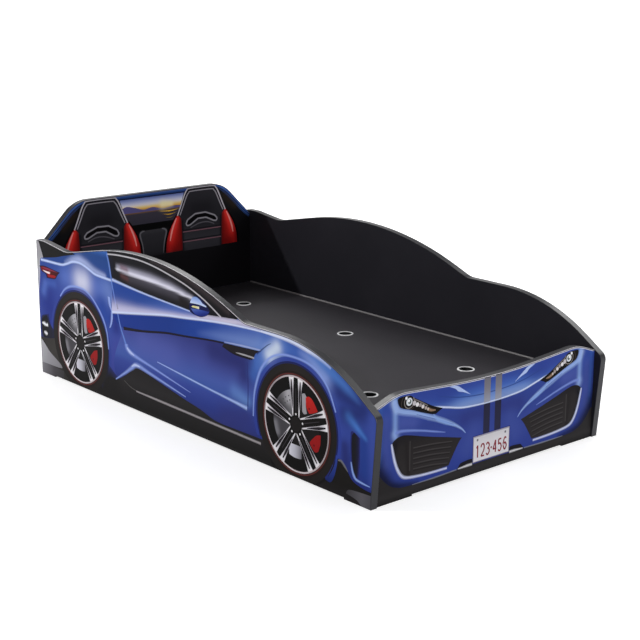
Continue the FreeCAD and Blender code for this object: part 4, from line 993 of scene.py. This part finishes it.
def noseLayers():
    hood = outline(nose["hoodEdge"], [(262, 231), (300, 236)], [(300, 260), (0, 260)])
    grille = outline(*nose["grille"])
    layers = [(None, fade((0, 25), (0, 240), [(0, "#33459a"), (0.3, "#3c4c9e"), (0.6, "#374896"),
                                              (0.8, "#394fa4"), (1, "#3550a4")]))]
    add = [
        (hood, fade((0, 168), (0, 236), [(0, "#8fa8de"), (0.22, "#6f8fd2"), (0.4, "#4a6dc0"),
                                         (0.7, "#3e58ae"), (1, "#3c54aa")])),
        (hood, glow([(150, 215), (260, 240)], 36, "#35489c", 0.85)),
        (hood, glow([(0, 226), (170, 214)], (14, 20), "#33479a", 0.6)),
        (None, glow([(30, 145), (90, 140)], 22, "#333d86", 0.8)),
        (None, glow([(60, 110), (80, 70)], 24, "#4657a6", 0.6)),
        (None, glow([(250, 170), (280, 175)], 20, "#505fae", 0.7)),
        (None, glow([(330, 190), (330, 90)], 14, "#4a5aaa", 0.6)),
        (None, glow([(345, 230), (345, 90)], 5, "#3f63b4", 0.7)),
        (None, glow([(303, 228), (303, 160)], 7, "#8fb0ec", 0.8)),
        (None, glow([(304, 152), (302, 146)], 9, "#9dbaf2", 0.8)),
        (None, glow([(300, 208), (309, 224)], 8, "#b9cdf8", 0.7)),
    ]
    add += softStripe(nose["hoodEdge"], [2.6, 2.6, 3, 3, 3, 2.6], "#d9e4ff")
    add += softStripe([(0, 188), (50, 189), (110, 196), (170, 210)], [2, 2, 1.8, 1], "#33498c",
                      [0.8, 0.8, 0.7, 0.2])
    add += softStripe(nose["brow"], [6, 10, 10, 9, 9, 7, 5, 3, 1], "#9db9f0",
                      [0.8, 0.85, 0.85, 0.8, 0.8, 0.75, 0.6, 0.5, 0.2])
    add += [(stripe([(240, 184), (200, 168), (160, 152), (125, 137)], [1, 2, 2, 1]), flat("#3d4fa4", 0.7))]
    add += softStripe([(190, 176), (176, 160), (150, 146), (120, 132)], [1, 6, 6, 1], "#8fb0ee", 0.7)
    add += softStripe(nose["grilleBrow"], [6, 5, 4, 3.5, 3, 1], "#7d94de", 0.9)
    add += [(outline(*nose["glint"]), flat("#b9ccf8"))]
    add += [(grille, fade((200, 145), (200, 40), [(0, "#1d1b20"), (0.25, "#2b2829"), (1, "#343132")]))]
    add += [(grille, glow([(300, 130), (305, 100), (290, 60)], 6, "#15141c", 0.9))]
    add += [(grille, glow([(270, 135), (262, 50)], 5, "#252223", 0.9))]
    for step in range(5):
        height = 110 - 12 * step
        add += [(stripe([(248, height), (190, height - 4), (128 + 3 * step, height - 12)], [2.4, 3, 2]),
                 flat("#454142", 0.9)),
                (stripe([(248, height - 4), (190, height - 8), (130 + 3 * step, height - 15)], [1.6, 2,
                     1.4]), flat("#201e1f", 0.8))]
    add += softStripe([(258, 128), (258, 60)], [2, 2.5], "#454142", 0.8)
    add += softStripe(nose["chrome"], [3, 4.4, 4.8, 5, 5, 4.4, 4, 3.8, 3.4], "#d5dcfb")
    # lamp: dark glass, a ring lens and a chain of small reflectors
    lamp = outline(*nose["lamp"])
    add += [(lamp, flat("#141110")),
            (ring((262, 217), 15.5, 13.5, 30), flat("#8b8480"), lamp),
            (ring((265, 216), 21, 19.6, 30), flat("#4a403c"), lamp),
            (disc((262, 217), 9, 26), flat("#e3e8ee"), lamp), (disc((261, 217), 5, 16), flat("#5d6a68"),
                                                               lamp),
            (disc((263, 219), 3, 12), flat("#ffffff"), lamp)]
    reflectors = [((247, 211), 5.5, "#cfcace"), ((238, 206), 5, "#f0ecee"), ((229, 203), 4.2, "#a8a0a2"),
                  ((221, 198), 4.6, "#e9e2e2"), ((212, 193), 4, "#b7aaa6"), ((205, 189), 3.4, "#d9ccc4")]
    add += [(disc(spot, size, 14), flat(shade), lamp) for spot, size, shade in reflectors]
    add += softStripe([(252, 222), (236, 214), (220, 205), (206, 197)], [1.2, 2, 2, 1], "#8b8482", 0.8, lamp)
    add += softStripe([(203, 188), (194, 184), (182, 182)], [5, 4, 1.5], "#a98a70", 0.8, lamp)
    add += [(disc((271, 227), 3.6, 14), flat("#f6f6fa"), lamp)]
    # lip of the bumper
    add += [
        (None, glow([(235, 26), (300, 34), (332, 54), (356, 92), (364, 130)], (6, 12, 20, 22, 14), "#14152a",
                    (0.6, 0.9, 0.95, 0.9, 0.3))),
        (outline([(-1, 28), (60, 28), (245, 26), (300, 32), (330, 50), (352, 76)], [(380, 76)], [(380, -4)],
             [(-1, -4)]), fade((0, 30), (0, 0), [(0, "#2e2c2d"), (0.5, "#353334"), (1, "#201f20")])),
        (outline([(60, 28), (62, 41), (80, 42), (100, 40)], [(112, 28)]), flat("#1e1c22")),
    ]
    add += softStripe([(62, 29), (80, 29), (108, 28)], [4, 4, 1.5], "#e3e2e6", 0.95)
    add += softStripe([(112, 27.5), (180, 26), (250, 26)], [2, 2.6, 1], "#8b8f9c", 0.7)
    bothSides(layers, add)
    # a painted highlight: a pale line just below the print's upper rim, beside the band's round edge
    rim = belowRim("nose_print", 0, 1, 0, range(-352, 353, 16), 0.2)
    layers += softStripe(rim, 1.7, "#f1f2fa")
    # the two racing stripes
    for side in (-1, 1):
        strip = polygon((side * 8, 166), (side * 29, 166), (side * 29, 260), (side * 8, 260))
        below = polygon((side * 8, 92), (side * 29, 92), (side * 29, 163), (side * 8, 163))
        layers += [(strip, fade((0, 168), (0, 236), [(0, "#9fa3b4"), (0.4, "#85838e"), (1, "#6b6a74")])),
                   (below, fade((0, 163), (0, 92), [(0, "#2a2a40"), (1, "#30304a")]))]
    layers += plateLayers()
    return layers


plate = {"half": 60, "low": 30.5, "high": 92, "digitHigh": 29, "digitWide": 11.0, "foot": 40,
         "pitch": 17.0, "stroke": 3.8, "white": "#e9e5ea", "ink": "#8d2a38"}

# each digit on a square of 1 by 1: the runs of its strokes
digitRuns = {
    "1": [[(0.25, 0.78), (0.55, 1.0)], [(0.55, 1.0), (0.55, 0.0)]],
    "2": [[(0.02, 0.76), (0.2, 0.98), (0.75, 0.98), (0.96, 0.72), (0.8, 0.45), (0.05, 0.03)],
          [(0.05, 0.03), (1.0, 0.03)]],
    "3": [[(0.03, 0.85), (0.45, 1.0), (0.93, 0.78), (0.7, 0.53), (0.4, 0.52)],
          [(0.4, 0.52), (0.75, 0.5), (0.98, 0.25), (0.5, 0.0), (0.02, 0.14)]],
    "4": [[(0.75, 0.0), (0.75, 1.0)], [(0.75, 1.0), (0.0, 0.3)], [(0.0, 0.3), (1.0, 0.3)]],
    "5": [[(0.92, 0.98), (0.15, 0.98)], [(0.15, 0.98), (0.1, 0.55)],
          [(0.1, 0.55), (0.55, 0.63), (0.96, 0.34), (0.55, 0.0), (0.03, 0.12)]],
    "6": [[(0.85, 0.9), (0.5, 1.0), (0.1, 0.68), (0.06, 0.3), (0.5, 0.0), (0.95, 0.3), (0.5, 0.58),
           (0.1, 0.34)]],
}


def plateLayers():
    # a plain plate with its fixing holes and counting numbers
    half, low, high = plate["half"], plate["low"], plate["high"]
    layers = [
        (polygon((-half - 2, low - 1.5), (half + 2, low - 1.5), (half + 2, high + 2), (-half - 2, high + 2)),
         flat("#2a3070", 0.8)),
        (polygon((-half, low), (half, low), (half, high), (-half, high)), flat("#a9a4b4")),
        (polygon((-half + 2, low + 1.5), (half - 2, low + 1.5), (half - 2, high - 3), (-half + 2, high - 3)),
         fade((0, high), (0, low), [(0, "#d9d8dc"), (0.3, plate["white"]), (1, "#efecf0")])),
    ]
    for place in (-46, 46):
        layers.append((disc((place, high - 10), 3.2, 14), flat("#9b98a2")))
        layers.append((disc((place, high - 10), 1.8, 12), flat("#5b5962")))
    wide, tall = plate["digitWide"], plate["digitHigh"]
    for index, digit in enumerate("123456"):
        middle = (index - 2.5) * plate["pitch"] + (3.0 if index > 2 else -3.0)
        corner = (middle - wide / 2, plate["foot"])
        for run in digitRuns[digit]:
            spots = [(corner[0] + x * wide, corner[1] + y * tall) for x, y in run]
            layers.append((stripe(spots, plate["stroke"], 5), flat(plate["ink"])))
    layers.append((disc((0, plate["foot"] + tall / 2), 2.6, 12), flat(plate["ink"])))
    return layers


paintedFilm("nosePrint", "nose_print", 0, 1, 0, noseLayers())
print("nose print")


# ---- headboard print
# across is millimetres from the middle of the bed, up is millimetres from the floor

cabin = {
    "seat": [[(-40, 473), (40, 473), (52, 468), (62, 450), (74, 420), (86, 396)], [(75, 384)], [(73, 340),
             (72, 280)], [(-72, 280)], [(-73, 340), (-75, 384)], [(-86, 396)], [(-74, 420), (-62, 450),
             (-52, 468), (-40, 473)]],
    "piping": [(-88, 394), (-76, 420), (-63, 450), (-53, 466), (-40, 471), (40, 471), (53, 466), (63, 450),
               (76, 420), (88, 394)],
    "innerPiping": [(-79, 395), (-67, 420), (-54, 448), (-46, 458), (-36, 462), (36, 462), (46, 458),
                    (54, 448), (67, 420), (79, 395)],
    "slot": [(-58, 366), (-52, 378), (-24, 393), (14, 394), (48, 381), (57, 371), (54, 364), (44, 365),
             (16, 378), (-14, 378), (-42, 362), (-53, 360)],
    "bolster": [[(88, 397), (103, 376), (118, 350), (128, 320), (131, 288)], [(66, 288)], [(68, 340),
                (72, 386), (88, 397)]],
}


def seatLayers(middle, side):
    # one seat: the shell, two lines of piping, the slot for a belt, and red bolsters
    def at(shape):
        return moved([[(side * x, y) for x, y in loop] for loop in shape], (middle, 0))

    def line(points, widths, colour, cover=1.0):
        return [(at(shape), mirrorSeat(ink)) for shape, ink in softStripe(points, widths, colour, cover)]

    def mirrorSeat(ink):
        # an ink given about the seat's own middle
        return lambda spots: ink((spots - np.array([middle, 0.0])) * np.array([float(side), 1.0]))

    layers = []
    for way in (1, -1):
        bolster = outline(*[[(way * x, y) for x, y in run] for run in cabin["bolster"]])
        shadow = [[(x * 1.05, y + 2) for x, y in bolster[0]]]
        layers += [(at(shadow), flat("#0c0506")),
                   (at(bolster), mirrorSeat(fade((way * 72, 0), (way * 128, 0), [(0, "#571011"),
                        (0.2, "#8a1917"), (0.55, "#ad1e1b"), (0.8, "#b8201f"), (1, "#8c181b")]))),
                   (at(bolster), mirrorSeat(glow([(way * 88, 388), (way * 100, 362), (way * 112, 322)],
                                                 (6, 11, 9), "#e5342f", (1, 0.95, 0.5)))),
                   (at(bolster), mirrorSeat(glow([(way * 84, 300), (way * 100, 292)], 16, "#6a1214", 0.7)))]
        layers += line([(way * 92, 388), (way * 103, 366), (way * 111, 344), (way * 116, 322)],
                       [2, 4, 4, 2], "#f59b97", (0.5, 0.9, 0.6, 0.1))
    shell = outline(*cabin["seat"])
    layers += [
        (at(shell), fade((0, 470), (0, 285), [(0, "#2b2a30"), (0.35, "#27262b"), (0.6, "#2a292e"),
                                              (0.8, "#38373d"), (1, "#333238")])),
        (at(shell), mirrorSeat(glow([(-20, 410), (20, 410)], 24, "#1d1c21", 0.7))),
        (at(shell), mirrorSeat(glow([(-71, 376), (-70, 286)], 4, "#141015", 0.8))),
        (at(shell), mirrorSeat(glow([(71, 376), (70, 286)], 4, "#141015", 0.8))),
    ]
    layers += line(cabin["piping"], [2.6, 2.8, 2.8, 2.4, 2, 2, 2.4, 2.8, 2.8, 2.6], "#cbc6d0",
                   [0.9, 1, 1, 0.8, 0.55, 0.55, 0.8, 1, 1, 0.9])
    layers += line([((a[0] + b[0]) / 2, (a[1] + b[1]) / 2) for a, b in zip(cabin["piping"],
                                                                          cabin["innerPiping"])],
                   2.6, "#1b1a1f", 0.85)
    layers += line(cabin["innerPiping"], [2.4, 2.6, 2.6, 2.2, 2, 2, 2.2, 2.6, 2.6, 2.4], "#a19ca6",
                   [0.8, 0.9, 0.8, 0.5, 0.35, 0.35, 0.5, 0.8, 0.9, 0.8])
    slot = cabin["slot"]
    layers += [(at(polygon(*slot)), flat("#0a090c"))]
    for start, end in zip(slot, slot[1:] + slot[:1]):
        layers += line([start, end], 3.0, "#99969f", 0.95)
    layers += line([(-42, 353), (-10, 363), (20, 364), (46, 355)], [2, 2.6, 2.6, 2], "#5d5a62", 0.8)
    for height in (343, 313):
        layers += line([(-70, height), (70, height)], 2.0, "#8a5f6b", 0.8)
        layers += line([(-70, height + 5), (70, height + 5)], 2.6, "#17141a", 0.8)
    return layers


def cabinLayers():
    # the border, the two seats, the console between them, and a calm picture above it
    middle = 175
    top = 473.7
    layers = [(None, flat("#131316"))]
    rim = [(-360, 372), (-335, 392), (-300, 425), (-270, 452), (-245, 468), (-222, 475)]
    for side in (1, -1):
        spots = [(side * x, z) for x, z in rim]
        layers += softStripe(spots, [15, 15, 15, 14, 11, 5], "#4063ae")
        layers += softStripe([(x, z - 8) for x, z in spots], [2, 2, 2, 2, 2, 1], "#141a38", 0.9)
    layers += [(None, glow([(side * 262, 438), (side * 298, 404)], 12, "#2b221a", 0.7)) for side in (1, -1)]
    layers += [(polygon((-134, 480), (134, 480), (128, 463), (-128, 463)), fade((0, 476), (0, 463), [
        (0, "#4568ae"), (0.6, "#2c4c90"), (1, "#161f42")]))]
    # the picture: an evening sky over low hills and a lake, in the real one's tones
    picture = outline([(-112, 461), (112, 461)], [(96, 420), (78, 384)], [(-78, 384)], [(-96, 420),
                      (-112, 461)])
    layers += [
        (picture, fade((0, 462), (0, 384), [(0, "#4d5fa4"), (0.12, "#98a2d2"), (0.26, "#e2e0ee"),
                                            (0.34, "#f2d79c"), (0.44, "#e0a42e"), (0.5, "#c08420"),
                                            (0.56, "#3e3a46"), (1, "#37343f")])),
        (outline([(-112, 430), (-90, 440), (-60, 434), (-30, 426), (0, 430), (40, 423), (76, 427),
             (112, 424)], [(112, 420), (-112, 420)]), flat("#5a5488")),
        (picture, glow([(36, 434), (66, 434)], (12, 8), "#fdf0bc", 0.95)),
        (outline([(20, 416), (60, 414), (94, 416)], [(60, 411), (20, 416)]), flat("#f0bc3c")),
        (outline([(34, 406), (58, 404), (84, 406)], [(58, 401), (34, 406)]), flat("#c99a30")),
        (outline([(44, 396), (58, 394), (74, 396)], [(58, 392), (44, 396)]), flat("#8f7330")),
    ]
    layers += [
        (polygon((-110, 384), (110, 384), (110, 364), (-110, 364)), flat("#0b0b0c")),
        (outline([(-47, 350), (-43, 359), (-32, 364)], [(32, 364)], [(43, 359), (47, 350)], [(60, 284)],
             [(-60, 284)]), fade((0, 364), (0, 290), [(0, "#3a393e"), (0.2, "#302f34"), (1, "#28272c")])),
    ]
    for side in (-1, 1):
        edge = [(side * 34, 290), (side * 38, 320), (side * 46, 352), (side * 40, 361), (side * 30, 363)]
        layers += softStripe(edge, [1, 3, 4, 4, 2], "#6d6b72", 0.7)
    layers += seatLayers(middle, 1) + seatLayers(-middle, -1)
    layers += [(polygon((-380, 286), (380, 286), (380, 150), (-380, 150)), flat("#161518"))]
    layers += [(None, glow([(-110, 284), (110, 284)], 8, "#19181b", 0.6))]
    layers += softStripe([(-215, top), (215, top)], [3, 3], "#77727c", 0.6)
    return layers


paintedFilm("headboardPrint", "headboard_print", 0, 1, 0, cabinLayers())
print("headboard print")


# ---- floor, light and camera

stage = {
    "floorReach": 60.0, "paper": "#d4d4d5",
    # how much light of its own the sweep shows, near the bed and far from it, and at what distances
    "sweepLift": (0.66, 0.95), "sweepReach": (1.3, 3.2),
    # the room's white wall and darker ceiling, and the heights between which one turns into the other
    "roomLevels": (0.98, 0.2), "roomEdges": (0.18, 0.5),
    # the camera, worked out from the corners of the boards in the photograph: degrees and metres
    "azimuth": 49.396, "elevation": 14.372, "distance": 3.7324, "lens": 79.93,
    "target": (-0.00395, 0.06671, 0.21054),
}

lamps = {
    "keyLamp": {"place": (-2.75, -4.08, 3.16), "aim": (0, 0, 0.2), "size": (0.16, 0.16), "watts": 120.0},
    "backSoftbox": {"place": (-2.3, 0.9, 2.8), "aim": (0.5, 0, 0.2), "size": (1.8, 2.0), "watts": 60.0},
    "farSoftbox": {"place": (0.7, 3.4, 3.3), "aim": (0.4, 0, 0.2), "size": (3.6, 1.3), "watts": 85.0},
    "frontSoftbox": {"place": (3.4, 0.6, 1.3), "aim": (0, 0, 0.2), "size": (2.0, 1.6), "watts": 20.0},
}


def makeFloor():
    # a white sweep, darker only where the bed's shadow falls
    bm = bmesh.new()
    bmesh.ops.create_grid(bm, x_segments=1, y_segments=1, size=stage["floorReach"])
    mesh = bpy.data.meshes.new("floor")
    bm.to_mesh(mesh)
    bm.free()
    material, tree, shader = newMaterial("paperSweep", {
        "Base Color": linear(stage["paper"]), "Roughness": 1.0, "Specular IOR Level": 0.0,
        "Emission Color": linear("#ffffff")})
    # 1 for what the camera, a mirror or glass sees, 0 for the light that falls on the bed
    path = addNode(tree, "ShaderNodeLightPath")
    either = addNode(tree, "ShaderNodeMath", {
        0: path.outputs["Is Camera Ray"], 1: path.outputs["Is Glossy Ray"]}, operation="MAXIMUM")
    seen = addNode(tree, "ShaderNodeMath", {
        0: either.outputs[0], 1: path.outputs["Is Transmission Ray"]}, operation="MAXIMUM")
    # painted light: the sweep's own glow grows away from the bed, so it's whiter than the part near it
    place = addNode(tree, "ShaderNodeTexCoord")
    reach = addNode(tree, "ShaderNodeVectorMath", {0: place.outputs["Object"]}, operation="LENGTH")
    near, far = stage["sweepReach"]
    nearLift, farLift = stage["sweepLift"]
    sweep = addNode(tree, "ShaderNodeMapRange", {
        "Value": reach.outputs["Value"], "From Min": near, "From Max": far, "To Min": nearLift,
        "To Max": farLift}, interpolation_type="SMOOTHSTEP")
    lift = addNode(tree, "ShaderNodeMath", {0: seen.outputs[0], 1: sweep.outputs["Result"]},
                   operation="MULTIPLY")
    tree.links.new(lift.outputs[0], shader.inputs["Emission Strength"])
    mesh.materials.append(material)
    floor = bpy.data.objects.new("floor", mesh)
    bpy.context.scene.collection.objects.link(floor)


def addAreaLight(name, place, aim, size, watts):
    data = bpy.data.lights.new(name, "AREA")
    data.shape = "RECTANGLE"
    data.size, data.size_y = size
    data.energy = watts
    lamp = bpy.data.objects.new(name, data)
    lamp.location = place
    lamp.rotation_euler = (Vector(aim) - Vector(place)).to_track_quat("-Z", "Y").to_euler()
    bpy.context.scene.collection.objects.link(lamp)


def makeWorld():
    # a studio whose walls are white and whose ceiling is darker; the camera sees plain white
    world = bpy.data.worlds.new("studio")
    world.use_nodes = True
    tree = world.node_tree
    tree.nodes.clear()
    wallTop, ceilingEdge = stage["roomEdges"]
    wallLevel, ceilingLevel = stage["roomLevels"]
    direction = addNode(tree, "ShaderNodeTexCoord")
    height = addNode(tree, "ShaderNodeSeparateXYZ", {"Vector": direction.outputs["Generated"]})
    level = addNode(tree, "ShaderNodeMapRange", {
        "Value": height.outputs["Z"], "From Min": wallTop, "From Max": ceilingEdge, "To Min": wallLevel,
        "To Max": ceilingLevel}, interpolation_type="SMOOTHSTEP")
    path = addNode(tree, "ShaderNodeLightPath")
    room = addNode(tree, "ShaderNodeBackground", {"Color": linear("#ffffff"),
                                                  "Strength": level.outputs["Result"]})
    white = addNode(tree, "ShaderNodeBackground", {"Color": linear("#ffffff"), "Strength": 1.0})
    mix = addNode(tree, "ShaderNodeMixShader", {0: path.outputs["Is Camera Ray"]})
    tree.links.new(room.outputs[0], mix.inputs[1])
    tree.links.new(white.outputs[0], mix.inputs[2])
    addNode(tree, "ShaderNodeOutputWorld", {"Surface": mix.outputs[0]})
    bpy.context.scene.world = world


def makeCamera():
    data = bpy.data.cameras.new("camera")
    data.lens = stage["lens"]
    data.sensor_width = 36.0
    data.clip_end = 200.0
    camera = bpy.data.objects.new("camera", data)
    azimuth, elevation = math.radians(stage["azimuth"]), math.radians(stage["elevation"])
    back = Vector((math.sin(azimuth) * math.cos(elevation), -math.cos(azimuth) * math.cos(elevation),
                   math.sin(elevation)))
    camera.location = Vector(stage["target"]) + back * stage["distance"]
    camera.rotation_euler = (-back).to_track_quat("-Z", "Y").to_euler()
    bpy.context.scene.collection.objects.link(camera)
    bpy.context.scene.camera = camera


makeFloor()
makeWorld()
for name, lamp in lamps.items():
    addAreaLight(name, **lamp)
makeCamera()
bpy.context.scene.view_settings.view_transform = "Standard"
print("floor, light and camera")
